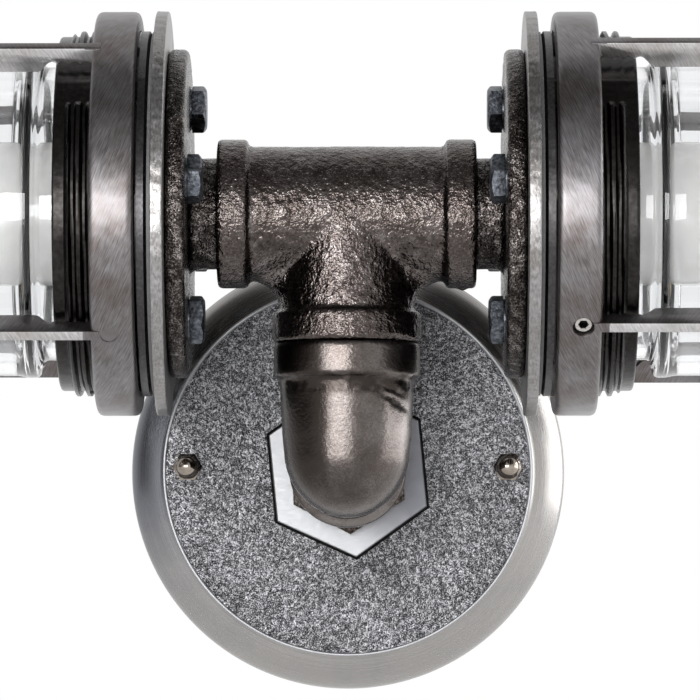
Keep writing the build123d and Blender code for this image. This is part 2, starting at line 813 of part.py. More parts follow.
def make_lampholder(side):
    """Porcelain holder: screwed base, round tower and the well for the shell."""
    well = shell_radius + shell_fit
    base_end = floor_start + holder_base_thickness
    with BuildPart() as lampholder:
        with BuildSketch(meridian(side)):
            with BuildLine():
                Polyline(
                    (floor_start, 0),
                    (floor_start, holder_base_radius),
                    (base_end, holder_base_radius),
                    (base_end, holder_radius),
                    (holder_end, holder_radius),
                    (holder_end, well),
                    (shell_start, well),
                    (shell_start, 0),
                    close=True,
                )
            make_face()
        revolve(axis=lamp_axis(side))
        mouth = circles(lampholder, holder_radius)
        fillet(mouth.sort_by(lamp_axis(side))[-1], holder_edge)
        with BuildSketch(cross_section(side, floor_start, holder_screw_turn)):
            with PolarLocations(holder_screw_circle, holder_screws):
                Circle(holder_screw_radius + thread_gap)
        extrude(amount=holder_base_thickness, mode=Mode.SUBTRACT)
    return lampholder


def make_lampholder_screws(side):
    """Two pan-head screws that hold the lampholder to the body's floor."""
    with BuildPart() as lampholder_screws:
        with BuildSketch(cross_section(side, floor_start - holder_screw_depth, holder_screw_turn)):
            with PolarLocations(holder_screw_circle, holder_screws):
                Circle(holder_screw_radius)
        extrude(amount=holder_screw_depth + holder_base_thickness)
        with BuildSketch(cross_section(side, floor_start + holder_base_thickness, holder_screw_turn)):
            with PolarLocations(holder_screw_circle, holder_screws):
                Circle(holder_screw_head_radius)
        extrude(amount=holder_screw_head_height)
    return lampholder_screws


def make_screw_shell(side):
    """Thin brass cup that takes the bulb's cap."""
    with BuildPart() as screw_shell:
        with BuildSketch(meridian(side)):
            with BuildLine():
                Polyline(
                    (shell_start, shell_lip_bore),
                    (shell_start, shell_radius),
                    (shell_start + shell_length, shell_radius),
                    (shell_start + shell_length, shell_radius - shell_wall),
                    (shell_start + shell_wall, shell_radius - shell_wall),
                    (shell_start + shell_wall, shell_lip_bore),
                    close=True,
                )
            make_face()
        revolve(axis=lamp_axis(side))
    return screw_shell


def make_centre_contact(side):
    """Brass contact on the floor of the lampholder's well."""
    with BuildPart() as centre_contact:
        with BuildSketch(cross_section(side, shell_start)):
            Circle(contact_radius)
        extrude(amount=contact_thickness)
        with BuildSketch(cross_section(side, shell_start + contact_thickness)):
            Circle(contact_button_radius)
        extrude(amount=contact_button_height)
    return centre_contact


def make_bulb_contact(side):
    """Contact button at the end of the bulb's cap."""
    with BuildPart() as bulb_contact:
        with BuildSketch(cross_section(side, bulb_start)):
            Circle(bulb_contact_radius)
        extrude(amount=bulb_contact_height)
    return bulb_contact


def make_bulb_insulator(side):
    """Black glass cone between the contact button and the cap."""
    with BuildPart() as bulb_insulator:
        with BuildSketch(cross_section(side, cap_start - bulb_insulator_height)):
            Circle(bulb_contact_radius)
        with BuildSketch(cross_section(side, cap_start)):
            Circle(bulb_insulator_radius)
        loft()
    return bulb_insulator


def make_bulb_cap(side):
    """Brass screw cap of the bulb."""
    ridges_start = cap_start + cap_wall + bulb_insulator_height / 2
    root = cap_radius - cap_thread_depth
    ridges = thread_outline(ridges_start, cap_radius, cap_thread_depth, cap_pitch, cap_thread_turns)
    with BuildPart() as bulb_cap:
        with BuildSketch(meridian(side)):
            with BuildLine():
                Polyline(
                    (cap_start, 0),
                    (cap_start, bulb_insulator_radius),
                    (ridges_start, cap_radius),
                    *ridges,
                    (glass_start, cap_radius),
                    (glass_start, root - cap_wall),
                    (ridges_start, root - cap_wall),
                    (cap_start + cap_wall, bulb_insulator_radius - cap_wall),
                    (cap_start + cap_wall, 0),
                    close=True,
                )
            make_face()
        revolve(axis=lamp_axis(side))
    return bulb_cap


def bulb_curve(inset):
    """Neck, blend point, slope there, tip and ball centre of the bulb, set in by the inset."""
    ball = bulb_ball_radius - inset
    centre = glass_start + bulb_glass_length - bulb_ball_radius
    blend = radians(bulb_blend_angle)
    neck = (glass_start, bulb_neck_radius - inset)
    joint = (centre + ball * cos(blend), ball * sin(blend))
    slope = (sin(blend), -cos(blend))
    return neck, joint, slope, (centre + ball, 0), centre


def make_bulb_glass(side):
    """Thin clear bulb: a neck that swells into a ball."""
    with BuildPart() as bulb_glass:
        for inset, mode in ((0, Mode.ADD), (bulb_wall, Mode.SUBTRACT)):
            neck, joint, slope, tip, centre = bulb_curve(inset)
            with BuildSketch(meridian(side)):
                with BuildLine():
                    Spline(neck, joint, tangents=((1, 0), slope))
                    CenterArc((centre, 0), tip[0] - centre, 0, bulb_blend_angle)
                    Polyline(tip, (neck[0], 0), neck)
                make_face()
            revolve(axis=lamp_axis(side), mode=mode)
    return bulb_glass


def make_bulb_stem(side):
    """Glass stem with its flare, inside the bulb's neck."""
    flare = bulb_neck_radius - bulb_wall - thread_gap
    with BuildPart() as bulb_stem:
        with BuildSketch(meridian(side)):
            with BuildLine():
                Polyline(
                    (glass_start, 0),
                    (glass_start, flare),
                    (glass_start + bulb_wall, flare),
                    (glass_start + stem_flare_length, stem_radius),
                    (glass_start + stem_length, stem_radius),
                    (glass_start + stem_length, 0),
                    close=True,
                )
            make_face()
        revolve(axis=lamp_axis(side))
    return bulb_stem


def make_bulb_filament(side):
    """Two spread leads from the stem with a bowed filament between them."""
    foot = glass_start + stem_length
    tip = foot + lead_rise
    with BuildPart() as bulb_filament:
        with BuildLine(meridian(side)) as route:
            FilletPolyline(
                (foot, lead_foot),
                (foot + lead_start, lead_foot),
                (tip, lead_spread),
                (tip + filament_bow, 0),
                (tip, -lead_spread),
                (foot + lead_start, -lead_foot),
                (foot, -lead_foot),
                radius=lead_bend,
            )
        with BuildSketch(Plane(route.line @ 0, z_dir=route.line % 0)):
            Circle(lead_radius)
        sweep()
    return bulb_filament


LAMP_PIECES = {
    "pipe_flange": make_pipe_flange,
    "flange_bolts": make_flange_bolts,
    "mounting_disc": make_mounting_disc,
    "body_gasket": make_body_gasket,
    "lamp_body": make_lamp_body,
    "jar_gasket": make_jar_gasket,
    "glass_jar": make_glass_jar,
    "guard": make_guard,
    "set_screw": make_set_screw,
    "lampholder": make_lampholder,
    "lampholder_screws": make_lampholder_screws,
    "screw_shell": make_screw_shell,
    "centre_contact": make_centre_contact,
    "bulb_contact": make_bulb_contact,
    "bulb_insulator": make_bulb_insulator,
    "bulb_cap": make_bulb_cap,
    "bulb_glass": make_bulb_glass,
    "bulb_stem": make_bulb_stem,
    "bulb_filament": make_bulb_filament,
}
for side in SIDES:
    for piece_name, make in LAMP_PIECES.items():
        save(make(side), f"{side}_{piece_name}")
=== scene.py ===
"""Dressed scene of a two-lamp wall light made from pipe fittings.

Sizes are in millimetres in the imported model's frame: the origin is the middle of the canopy's
back on the wall, +Z is up and the light stands out along -Y. Meshes are written in metres.
"""
import itertools
import logging
import math
from contextlib import contextmanager
from dataclasses import dataclass, field
from enum import Enum
from typing import Callable, Iterator, Sequence

import bmesh
import bpy
import numpy as np
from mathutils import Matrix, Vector


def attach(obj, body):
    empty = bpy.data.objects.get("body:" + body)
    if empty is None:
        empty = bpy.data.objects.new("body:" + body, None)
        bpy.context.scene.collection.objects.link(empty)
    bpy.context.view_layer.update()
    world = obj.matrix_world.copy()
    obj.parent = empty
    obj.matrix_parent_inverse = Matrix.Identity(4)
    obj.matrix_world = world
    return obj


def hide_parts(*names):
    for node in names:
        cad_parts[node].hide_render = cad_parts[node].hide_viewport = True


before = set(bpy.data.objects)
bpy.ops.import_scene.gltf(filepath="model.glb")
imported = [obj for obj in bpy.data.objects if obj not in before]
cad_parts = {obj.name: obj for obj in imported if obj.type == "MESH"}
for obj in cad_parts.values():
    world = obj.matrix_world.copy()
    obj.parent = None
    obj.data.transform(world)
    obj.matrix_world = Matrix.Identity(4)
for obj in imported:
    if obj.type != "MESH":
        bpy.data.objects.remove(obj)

log = logging.getLogger("wall_light")

MM = 0.001
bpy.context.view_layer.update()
LAMP_Y = -57.0
LAMP_Z = 64.9
FULL_TURN = 2 * math.pi
QUARTER_TURN = math.pi / 2
ROUND_STEPS = 5
ROUND_SHARE = 0.48
SEGMENTS = 256
SHARP = 38.0
HEX_SHARP = 25.0
ROUGH_SHARP = 50.0
CAST_SHARP = 60.0
STRONG_SHARE = 0.6
NOISE_ROUGHNESS = 0.6
NOISE_LOW = 0.3
NOISE_HIGH = 0.7
RELIEF_AND_SHADE = "relief"
WHITE = (1.0, 1.0, 1.0)
HASH_AXES = np.array([374761393, 668265263, 982451653])
HASH_STEP = 1274126177
HASH_MASK = 0xFFFFFFFF
HASH_TOP = 0xFFFF

Triple = tuple[float, float, float]
Colour = Triple
Corner = tuple[float, ...]
Outline = np.ndarray
Placing = Callable[..., np.ndarray]
Shares = Callable[[np.ndarray], np.ndarray]
Face = bpy.types.MeshPolygon
Material = bpy.types.Material
Mesh = bpy.types.Mesh
Piece = bpy.types.Object
Socket = bpy.types.NodeSocket
Tree = bpy.types.NodeTree


class Side(Enum):
    """Which lamp, as the sign of its direction along X."""

    LEFT = -1
    RIGHT = 1

    @property
    def word(self) -> str:
        """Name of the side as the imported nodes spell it."""
        return self.name.lower()


class Space(Enum):
    """What a finish's pattern is laid out on."""

    SOLID = "Object"
    SURFACE = "UV"


# Noise and outlines


def lattice(cells: np.ndarray, seed: int) -> np.ndarray:
    """Repeatable numbers for whole-number cells.

    Args:
        cells: Whole-number places, one row each.
        seed: Picks a different set of numbers.

    Returns:
        One number from 0 to 1 for each row.
    """
    mixed = (cells @ HASH_AXES + seed * HASH_STEP) & HASH_MASK
    mixed = ((mixed ^ (mixed >> 13)) * HASH_STEP) & HASH_MASK
    return ((mixed ^ (mixed >> 16)) & HASH_TOP) / HASH_TOP


def grain(points: np.ndarray, size: float, seed: int = 0) -> np.ndarray:
    """Smooth noise over points in space.

    Args:
        points: Places, one row each, in the same unit as size.
        size: Width of one grain.
        seed: Picks a different pattern.

    Returns:
        One number from -1 to 1 for each point.
    """
    scaled = points / size
    base = np.floor(scaled).astype(np.int64)
    part = scaled - base
    part = part * part * (3 - 2 * part)
    total = np.zeros(len(points))
    for corner in itertools.product((0, 1), repeat=3):
        step = np.array(corner)
        weight = np.prod(np.where(step == 1, part, 1 - part), axis=1)
        total += weight * lattice(base + step, seed)
    return 2 * total - 1


def outline(corners: Sequence[Corner], step: float, closed: bool = True) -> Outline:
    """Line through corners, each rounded by its own radius.

    Args:
        corners: Along, radius and, where the corner is rounded, the rounding.
        step: Greatest distance between two points.
        closed: Whether the line returns to its start.

    Returns:
        Points of the line, one row each.
    """
    places = np.array([corner[:2] for corner in corners], dtype=float)
    count = len(corners)
    path: list[np.ndarray] = []
    for index, corner in enumerate(corners):
        here = places[index]
        inner = closed or 0 < index < count - 1
        if len(corner) < 3 or not inner:
            path.append(here)
            continue
        before = places[index - 1] - here
        after = places[(index + 1) % count] - here
        sides = np.linalg.norm(before), np.linalg.norm(after)
        reach = min(corner[2], ROUND_SHARE * min(sides))
        start = here + before / sides[0] * reach
        end = here + after / sides[1] * reach
        for share in np.linspace(0, 1, ROUND_STEPS + 1):
            rest = 1 - share
            path.append(rest ** 2 * start + 2 * share * rest * here + share ** 2 * end)
    if closed:
        path.append(path[0])
    dense: list[np.ndarray] = []
    for start, end in zip(path, path[1:]):
        pieces = max(1, math.ceil(np.linalg.norm(end - start) / step))
        dense += [start + (end - start) * index / pieces for index in range(pieces)]
    if not closed:
        dense.append(path[-1])
    return np.array(dense)


def ring_outline(start: float, end: float, inner: float, outer: float, edge: float,
                 step: float) -> Outline:
    """Closed outline of a ring with eased outer edges.

    Args:
        start: Where the ring starts along its axis.
        end: Where it ends.
        inner: Its inner radius.
        outer: Its outer radius.
        edge: Rounding of the outer edges.
        step: Greatest distance between two points.

    Returns:
        Points of the outline, one row each.
    """
    return outline([(start, inner), (start, outer, edge), (end, outer, edge), (end, inner)], step)


def arc(along: float, radius: float, reach: float, turns: np.ndarray) -> list[Corner]:
    """Corners along a bend.

    Args:
        along: Middle of the bend, along the axis.
        radius: Middle of the bend, from the axis.
        reach: Radius of the bend.
        turns: Angles from straight out toward the end of the axis.

    Returns:
        One corner for each angle.
    """
    return [(along + reach * math.sin(turn), radius + reach * math.cos(turn)) for turn in turns]


# Meshes


def lamp_points(side: Side, along: np.ndarray, radius: np.ndarray, angle: np.ndarray) -> np.ndarray:
    """Places round a lamp's axis.

    Args:
        side: Which lamp.
        along: Distance from the tee's middle.
        radius: Distance from the lamp's axis.
        angle: Turn from straight ahead, upward, in radians.

    Returns:
        Points in millimetres, one row each.
    """
    y = LAMP_Y - radius * np.cos(angle)
    z = LAMP_Z + radius * np.sin(angle)
    return np.stack([side.value * along, y, z], axis=-1)


def wall_points(depth: np.ndarray, radius: np.ndarray, angle: np.ndarray) -> np.ndarray:
    """Places round the wall pipe's axis.

    Args:
        depth: Distance in front of the wall.
        radius: Distance from the pipe's axis.
        angle: Turn from +X toward +Z, in radians.

    Returns:
        Points in millimetres, one row each.
    """
    return np.stack([radius * np.cos(angle), -depth, radius * np.sin(angle)], axis=-1)


def signed_volume(points: np.ndarray, faces: np.ndarray) -> float:
    """Volume inside four-cornered faces.

    Args:
        points: Places, one row each.
        faces: Four point numbers in each row.

    Returns:
        The volume, negative where the faces point inward.
    """
    a, b, c, d = (points[faces[:, corner]] for corner in range(4))
    first = np.einsum("ij,ij->i", a, np.cross(b, c))
    second = np.einsum("ij,ij->i", a, np.cross(c, d))
    return float((first + second).sum() / 6)


def add(name: str, data: bpy.types.ID) -> Piece:
    """Puts a new object into the scene.

    Args:
        name: Name of the object.
        data: Its mesh, light or camera.

    Returns:
        The object.
    """
    piece = bpy.data.objects.new(name, data)
    bpy.context.scene.collection.objects.link(piece)
    return piece


def aim(piece: Piece, place: Triple, target: Triple) -> None:
    """Stands a light or camera at a place, in metres, and turns it toward a target.

    Args:
        piece: The light or camera.
        place: Where it stands.
        target: What it looks at.
    """
    piece.location = place
    look = Vector(target) - Vector(place)
    piece.rotation_euler = look.to_track_quat("-Z", "Y").to_euler()


def shade(mesh: Mesh, sharp: float = SHARP) -> None:
    """Smooth shading with crisp edges.

    Args:
        mesh: The mesh.
        sharp: Angle, in degrees, above which an edge stays crisp.
    """
    mesh.polygons.foreach_set("use_smooth", np.ones(len(mesh.polygons), dtype=bool))
    mesh.set_sharp_from_angle(angle=math.radians(sharp))
    mesh.update()


@contextmanager
def editing(mesh: Mesh) -> Iterator[bmesh.types.BMesh]:
    """Opens a mesh for changes and writes them back.

    Args:
        mesh: The mesh.

    Yields:
        The open mesh.
    """
    work = bmesh.new()
    work.from_mesh(mesh)
    yield work
    work.to_mesh(mesh)
    work.free()


def weld(mesh: Mesh, distance: float = 1e-7) -> None:
    """Merges points that lie together and drops faces that vanish.

    Args:
        mesh: The mesh.
        distance: How close the points lie, in metres.
    """
    with editing(mesh) as work:
        bmesh.ops.remove_doubles(work, verts=work.verts, dist=distance)
        bmesh.ops.dissolve_degenerate(work, edges=work.edges, dist=distance)


def face_outward(mesh: Mesh) -> None:
    """Turns every face of closed shells outward."""
    with editing(mesh) as work:
        bmesh.ops.recalc_face_normals(work, faces=work.faces)


def remember(mesh: Mesh, values: np.ndarray) -> None:
    """Keeps one number for each point of a mesh, for its finish to read: its raised and sunk height
    and any painted shade and highlight.
    """
    layer = mesh.attributes.new(RELIEF_AND_SHADE, "FLOAT", "POINT")
    layer.data.foreach_set("value", np.clip(values, 0, 1).astype(np.float32))


@dataclass
class Turned:
    """A turned surface as a grid of angles and outline points, before it is placed."""

    along: np.ndarray
    radius: np.ndarray
    angle: np.ndarray

    @classmethod
    def from_outline(cls, line: Outline, segments: int) -> "Turned":
        """Spins a closed outline.

        Args:
            line: Points of the outline, along and radius.
            segments: How many steps go round.

        Returns:
            The grid, with one row for each step.
        """
        turn = np.linspace(0, FULL_TURN, segments, endpoint=False)
        angle, along = np.meshgrid(turn, line[:, 0], indexing="ij")
        radius = np.broadcast_to(line[:, 1], angle.shape).copy()
        return cls(along.copy(), radius, angle)

    @classmethod
    def from_levels(cls, turn: np.ndarray, levels: Sequence[tuple[object, object]]) -> "Turned":
        """Stacks rings that go through the same angles.

        Args:
            turn: Angles of the steps that go round.
            levels: Along and radius of each ring, as one number or one for each angle.

        Returns:
            The grid, with one row for each step.
        """
        same = np.zeros_like(turn)
        along = np.stack([same + level for level, _ in levels], axis=-1)
        radius = np.stack([same + reach for _, reach in levels], axis=-1)
        return cls(along, radius, np.repeat(turn[:, None], len(levels), axis=1))

    def rings(self, place: Placing) -> np.ndarray:
        """Points of each ring of the grid, in millimetres."""
        return place(self.along, self.radius, self.angle).swapaxes(0, 1)

    def skin(self, place: Placing, first: float, second: float, seed: int) -> np.ndarray:
        """Cast skin over the grid, of two sizes of grain.

        Args:
            place: Turns along, radius and angle into points.
            first: Size of the stronger grain.
            second: Size of the weaker grain.
            seed: Picks the pattern.

        Returns:
            A height from -1 to 1 for each point of the grid.
        """
        points = place(self.along, self.radius, self.angle).reshape(-1, 3)
        strong, weak = grain(points, first, seed), grain(points, second, seed + 1)
        return (STRONG_SHARE * strong + (1 - STRONG_SHARE) * weak).reshape(self.radius.shape)

    def mesh(self, name: str, place: Placing, sharp: float = SHARP) -> Mesh:
        """Makes a closed mesh of the grid, with its own surface coordinates in metres.

        Args:
            name: Name of the mesh.
            place: Turns along, radius and angle into points.
            sharp: Edge angle, in degrees, that stays crisp.

        Returns:
            The mesh, in metres, facing outward.
        """
        rows, columns = self.along.shape
        points = place(self.along, self.radius, self.angle).reshape(-1, 3) * MM
        row, column = np.meshgrid(np.arange(rows), np.arange(columns), indexing="ij")
        next_row = (row + 1) % rows
        next_column = (column + 1) % columns
        faces = np.stack(
            [
                row * columns + column,
                next_row * columns + column,
                next_row * columns + next_column,
                row * columns + next_column,
            ],
            axis=-1,
        ).reshape(-1, 4)
        widest = float(self.radius.max()) * MM
        turn = row.astype(float) / rows * FULL_TURN * widest
        turn_end = (row + 1.0) / rows * FULL_TURN * widest
        first = np.stack([self.along[0], self.radius[0]], axis=-1)
        gaps = np.linalg.norm(np.roll(first, -1, axis=0) - first, axis=1) * MM
        run = np.concatenate([[0.0], np.cumsum(gaps)])
        start = np.broadcast_to(run[:-1], row.shape)
        end = np.broadcast_to(run[1:], row.shape)
        corners = np.stack(
            [
                np.stack([turn, start], axis=-1),
                np.stack([turn_end, start], axis=-1),
                np.stack([turn_end, end], axis=-1),
                np.stack([turn, end], axis=-1),
            ],
            axis=2,
        ).reshape(-1, 4, 2)
        if signed_volume(points, faces) < 0:
            faces = faces[:, ::-1]
            corners = corners[:, ::-1]
        mesh = bpy.data.meshes.new(name)
        mesh.from_pydata(points.tolist(), [], faces.tolist())
        surface = mesh.uv_layers.new(name="surface")
        surface.data.foreach_set("uv", corners.astype(np.float32).ravel())
        if float(self.radius.min()) < 1e-6:
            weld(mesh)
        shade(mesh, sharp)
        return mesh


def rings_mesh(name: str, rings: Sequence[np.ndarray], sharp: float = SHARP) -> Mesh:
    """Closed skin over a row of rings that have the same number of points.

    Args:
        name: Name of the mesh.
        rings: Points of each ring, in millimetres.
        sharp: Edge angle, in degrees, that stays crisp.

    Returns:
        The mesh, in metres, facing outward, with its two ends closed.
    """
    count = len(rings[0])
    points = np.concatenate(rings) * MM
    faces: list[tuple[int, ...]] = []
    for ring in range(len(rings) - 1):
        for index in range(count):
            after = (index + 1) % count
            low, high = ring * count, (ring + 1) * count
            faces.append((low + index, low + after, high + after, high + index))
    faces.append(tuple(range(count)))
    last = (len(rings) - 1) * count
    faces.append(tuple(range(last, last + count)))
    mesh = bpy.data.meshes.new(name)
    mesh.from_pydata(points.tolist(), [], faces)
    weld(mesh)
    face_outward(mesh)
    shade(mesh, sharp)
    return mesh


def plain_mesh(piece: Piece) -> Piece:
    """Replaces an object's mesh and modifiers by the mesh that they give.

    Args:
        piece: The object.

    Returns:
        The same object.
    """
    bpy.context.view_layer.update()
    graph = bpy.context.evaluated_depsgraph_get()
    result = bpy.data.meshes.new_from_object(
        piece.evaluated_get(graph), preserve_all_data_layers=True, depsgraph=graph)
    piece.modifiers.clear()
    old = piece.data
    piece.data = result
    result.name = piece.name
    bpy.data.meshes.remove(old)
    return piece


def discard(piece: Piece) -> None:
    """Removes a helper object and its mesh.

    Args:
        piece: The helper.
    """
    mesh = piece.data
    bpy.data.objects.remove(piece)
    bpy.data.meshes.remove(mesh)


def read_vectors(source: Sequence[object], name: str) -> np.ndarray:
    """Reads one direction or place from every item of a mesh's list.

    Args:
        source: The mesh's list.
        name: Which of an item's values is read.

    Returns:
        The vectors, one row each.
    """
    flat = np.empty(len(source) * 3, dtype=np.float32)
    source.foreach_get(name, flat)
    return flat.reshape(-1, 3).astype(float)


def mesh_points(mesh: Mesh) -> np.ndarray:
    """A mesh's points in millimetres, one row each."""
    return read_vectors(mesh.vertices, "co") / MM


def mesh_normals(mesh: Mesh) -> np.ndarray:
    """A mesh's point normals, one row each."""
    return read_vectors(mesh.vertex_normals, "vector")


def set_points(mesh: Mesh, points: np.ndarray) -> None:
    """Writes a mesh's points, given in millimetres."""
    mesh.vertices.foreach_set("co", (points * MM).astype(np.float32).ravel())
    mesh.update()


def cast_copy(node: str, name: str, voxel: float, smoothing: int) -> Piece:
    """Even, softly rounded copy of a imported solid.

    Args:
        node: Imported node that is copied.
        name: Name of the new object.
        voxel: Size of the even grid, in millimetres.
        smoothing: How many passes round the edges.

    Returns:
        The new object.
    """
    piece = add(name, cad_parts[node].data.copy())
    piece.data.materials.clear()
    weld(piece.data, 1e-6)
    remesh = piece.modifiers.new("even", "REMESH")
    remesh.mode = "VOXEL"
    remesh.voxel_size = voxel * MM
    smooth = piece.modifiers.new("soft", "SMOOTH")
    smooth.factor = 0.5
    smooth.iterations = smoothing
    return plain_mesh(piece)


def boolean(piece: Piece, tool: Piece, operation: str) -> None:
    """Joins a helper solid to a piece, or cuts it away, and removes the helper.

    Args:
        piece: The piece that is changed.
        tool: The helper.
        operation: UNION or DIFFERENCE.
    """
    step = piece.modifiers.new("shape", "BOOLEAN")
    step.operation = operation
    step.solver = "EXACT"
    step.object = tool
    plain_mesh(piece)
    discard(tool)


# Nodes


def feed(tree: Tree, socket: Socket, value: object) -> None:
    """Wires an input from a socket, or sets its value.

    Args:
        tree: Tree of the input's node.
        socket: The input.
        value: Another node's output, or a plain value.
    """
    if isinstance(value, Socket):
        tree.links.new(value, socket)
    else:
        socket.default_value = value


def add_node(tree: Tree, kind: str, **inputs: object) -> bpy.types.Node:
    """Adds a node and feeds its inputs.

    Args:
        tree: Tree that gets the node.
        kind: Type of the node.
        inputs: Sockets or values by input name, with _ for a space.

    Returns:
        The new node.
    """
    made = tree.nodes.new(kind)
    for label, value in inputs.items():
        feed(tree, made.inputs[label.replace("_", " ")], value)
    return made


def add_math(tree: Tree, operation: str, *values: object) -> Socket:
    """Adds one sum.

    Args:
        tree: Tree that gets the sum.
        operation: Kind of sum.
        values: Sockets or numbers that go in.

    Returns:
        The result.
    """
    made = tree.nodes.new("ShaderNodeMath")
    made.operation = operation
    for socket, value in zip(made.inputs, values):
        feed(tree, socket, value)
    return made.outputs[0]


def fill_ramp(ramp: bpy.types.ColorRamp, stops: Sequence[tuple[float, Colour]]) -> None:
    """Sets a colour ramp's stops.

    Args:
        ramp: The ramp.
        stops: Position and colour of each stop.
    """
    while len(ramp.elements) < len(stops):
        ramp.elements.new(0.5)
    for element, (position, colour) in zip(ramp.elements, stops):
        element.position = position
        element.color = (*colour, 1)


@dataclass
class Copies:
    """Copies of a pattern piece, in a row or turned about an axis along X."""

    name: str
    pattern: Piece
    finish: Material
    count: int
    place: Sequence[float]
    step: Sequence[float] = (0.0, 0.0, 0.0)
    turn: float = 0.0
    sweep: float = 0.0

    def tree(self) -> Tree:
        """Geometry nodes that set out the copies.

        Returns:
            The tree.
        """
        tree = bpy.data.node_groups.new(self.name, "GeometryNodeTree")
        tree.interface.new_socket(
            name="Geometry", in_out="OUTPUT", socket_type="NodeSocketGeometry")
        points = add_node(
            tree, "GeometryNodeMeshLine", Count=self.count, Start_Location=self.place,
            Offset=self.step)
        info = add_node(tree, "GeometryNodeObjectInfo", Object=self.pattern)
        index = add_node(tree, "GeometryNodeInputIndex").outputs["Index"]
        turn = add_math(tree, "MULTIPLY_ADD", index, self.sweep / self.count, self.turn)
        angles = add_node(tree, "ShaderNodeCombineXYZ", X=turn)
        copies = add_node(
            tree, "GeometryNodeInstanceOnPoints", Points=points.outputs["Mesh"],
            Instance=info.outputs["Geometry"], Rotation=angles.outputs["Vector"])
        solid = add_node(
            tree, "GeometryNodeRealizeInstances", Geometry=copies.outputs["Instances"])
        paint = add_node(
            tree, "GeometryNodeSetMaterial", Geometry=solid.outputs["Geometry"],
            Material=self.finish)
        add_node(tree, "NodeGroupOutput", Geometry=paint.outputs["Geometry"])
        return tree

    def build(self) -> Piece:
        """Makes the copies as one plain mesh and removes the pattern.

        Returns:
            The new object, with no modifier.
        """
        piece = add(self.name, bpy.data.meshes.new(self.name))
        step = piece.modifiers.new("copies", "NODES")
        step.node_group = self.tree()
        plain_mesh(piece)
        discard(self.pattern)
        return piece


# Finishes


class Graph:
    """Short way to lay out a material's nodes."""

    def __init__(self, name: str) -> None:
        """Starts a material with a principled surface.

        Args:
            name: Name of the material.
        """
        self.material = bpy.data.materials.new(name)
        self.material.use_nodes = True
        self.tree = self.material.node_tree
        self.tree.nodes.clear()
        self.surface = self.node("ShaderNodeBsdfPrincipled")
        self.node("ShaderNodeOutputMaterial", Surface=self.surface.outputs["BSDF"])

    def node(self, kind: str, **inputs: object) -> bpy.types.Node:
        """Adds a node and feeds its inputs by name."""
        return add_node(self.tree, kind, **inputs)

    def put(self, **values: object) -> None:
        """Feeds the surface's own inputs by name."""
        for label, value in values.items():
            feed(self.tree, self.surface.inputs[label.replace("_", " ")], value)

    def place(self, space: Space, stretch: Triple = (1, 1, 1), slant: float = 0.0) -> Socket:
        """Coordinates that a pattern is laid out on.

        Args:
            space: What they belong to.
            stretch: Scale along each direction.
            slant: Turn about the third direction, before the stretch, in radians.

        Returns:
            The coordinates.
        """
        where = self.node("ShaderNodeTexCoord").outputs[space.value]
        if slant:
            turned = self.node("ShaderNodeMapping", Vector=where, Rotation=(0, 0, slant))
            where = turned.outputs["Vector"]
        return self.node("ShaderNodeMapping", Vector=where, Scale=stretch).outputs["Vector"]

    def noise(self, where: Socket, size: float, detail: float) -> Socket:
        """Noise with grains of a size.

        Args:
            where: Place that is looked up.
            size: Size of a grain, in millimetres.
            detail: Number of finer layers.

        Returns:
            The noise, from 0 to 1.
        """
        made = self.node(
            "ShaderNodeTexNoise", Vector=where, Scale=1 / (size * MM), Detail=detail,
            Roughness=NOISE_ROUGHNESS)
        return made.outputs["Fac"]

    def ramp(self, value: Socket, *stops: tuple[float, Colour]) -> Socket:
        """Colour that follows a number through stops.

        Args:
            value: The number.
            stops: Position and colour of each stop.

        Returns:
            The colour.
        """
        made = self.node("ShaderNodeValToRGB", Fac=value)
        fill_ramp(made.color_ramp, stops)
        return made.outputs["Color"]

    def span(self, value: Socket, low: float, high: float) -> Socket:
        """Number that goes from low to high over the middle of a noise.

        Args:
            value: The noise.
            low: Number at its low end.
            high: Number at its high end.

        Returns:
            The number.
        """
        made = self.node(
            "ShaderNodeMapRange", Value=value, From_Min=NOISE_LOW, From_Max=NOISE_HIGH,
            To_Min=low, To_Max=high)
        return made.outputs["Result"]

    def multiply(self, first: Socket, second: Socket) -> Socket:
        """Product of two colours.

        Args:
            first: One colour.
            second: The other.

        Returns:
            The product.
        """
        made = self.node("ShaderNodeMix", Factor=1.0)
        made.data_type = "RGBA"
        made.blend_type = "MULTIPLY"
        colours = [socket for socket in made.inputs if socket.type == "RGBA"]
        for socket, source in zip(colours, (first, second)):
            feed(self.tree, socket, source)
        return next(socket for socket in made.outputs if socket.type == "RGBA")

    def own_relief(self, share: float, other: Socket) -> Socket:
        """Mixes the number that a mesh remembers for each point, its height and any painted shade
        and highlight, into another number.

        Args:
            share: Share of the remembered number.
            other: The other number.

        Returns:
            The mixed number.
        """
        own = self.node("ShaderNodeAttribute")
        own.attribute_name = RELIEF_AND_SHADE
        made = self.node("ShaderNodeMix", Factor=share)
        numbers = [socket for socket in made.inputs if socket.type == "VALUE"]
        ends = [socket for socket in numbers if socket.name in "AB"]
        for socket, source in zip(ends, (other, own.outputs["Fac"])):
            feed(self.tree, socket, source)
        return made.outputs["Result"]

    def bump(self, *layers: tuple[Socket, float]) -> None:
        """Stacks bump layers onto the surface.

        Args:
            layers: Height of each layer and its depth in millimetres.
        """
        below: dict[str, Socket] = {}
        for height, depth in layers:
            made = self.node("ShaderNodeBump", Height=height, Distance=depth * MM, **below)
            below = {"Normal": made.outputs["Normal"]}
        self.put(**below)


@dataclass(frozen=True)
class Finish:
    """A look that can be laid out as a material."""

    def build(self, name: str) -> Material:
        """Makes the material.

        Args:
            name: Name of the material.

        Returns:
            The material.
        """
        graph = Graph(name)
        self.lay(graph, graph.place(Space.SOLID))
        return graph.material

    def lay(self, graph: Graph, solid: Socket) -> None:
        """Adds this kind of finish to a graph."""
        raise NotImplementedError


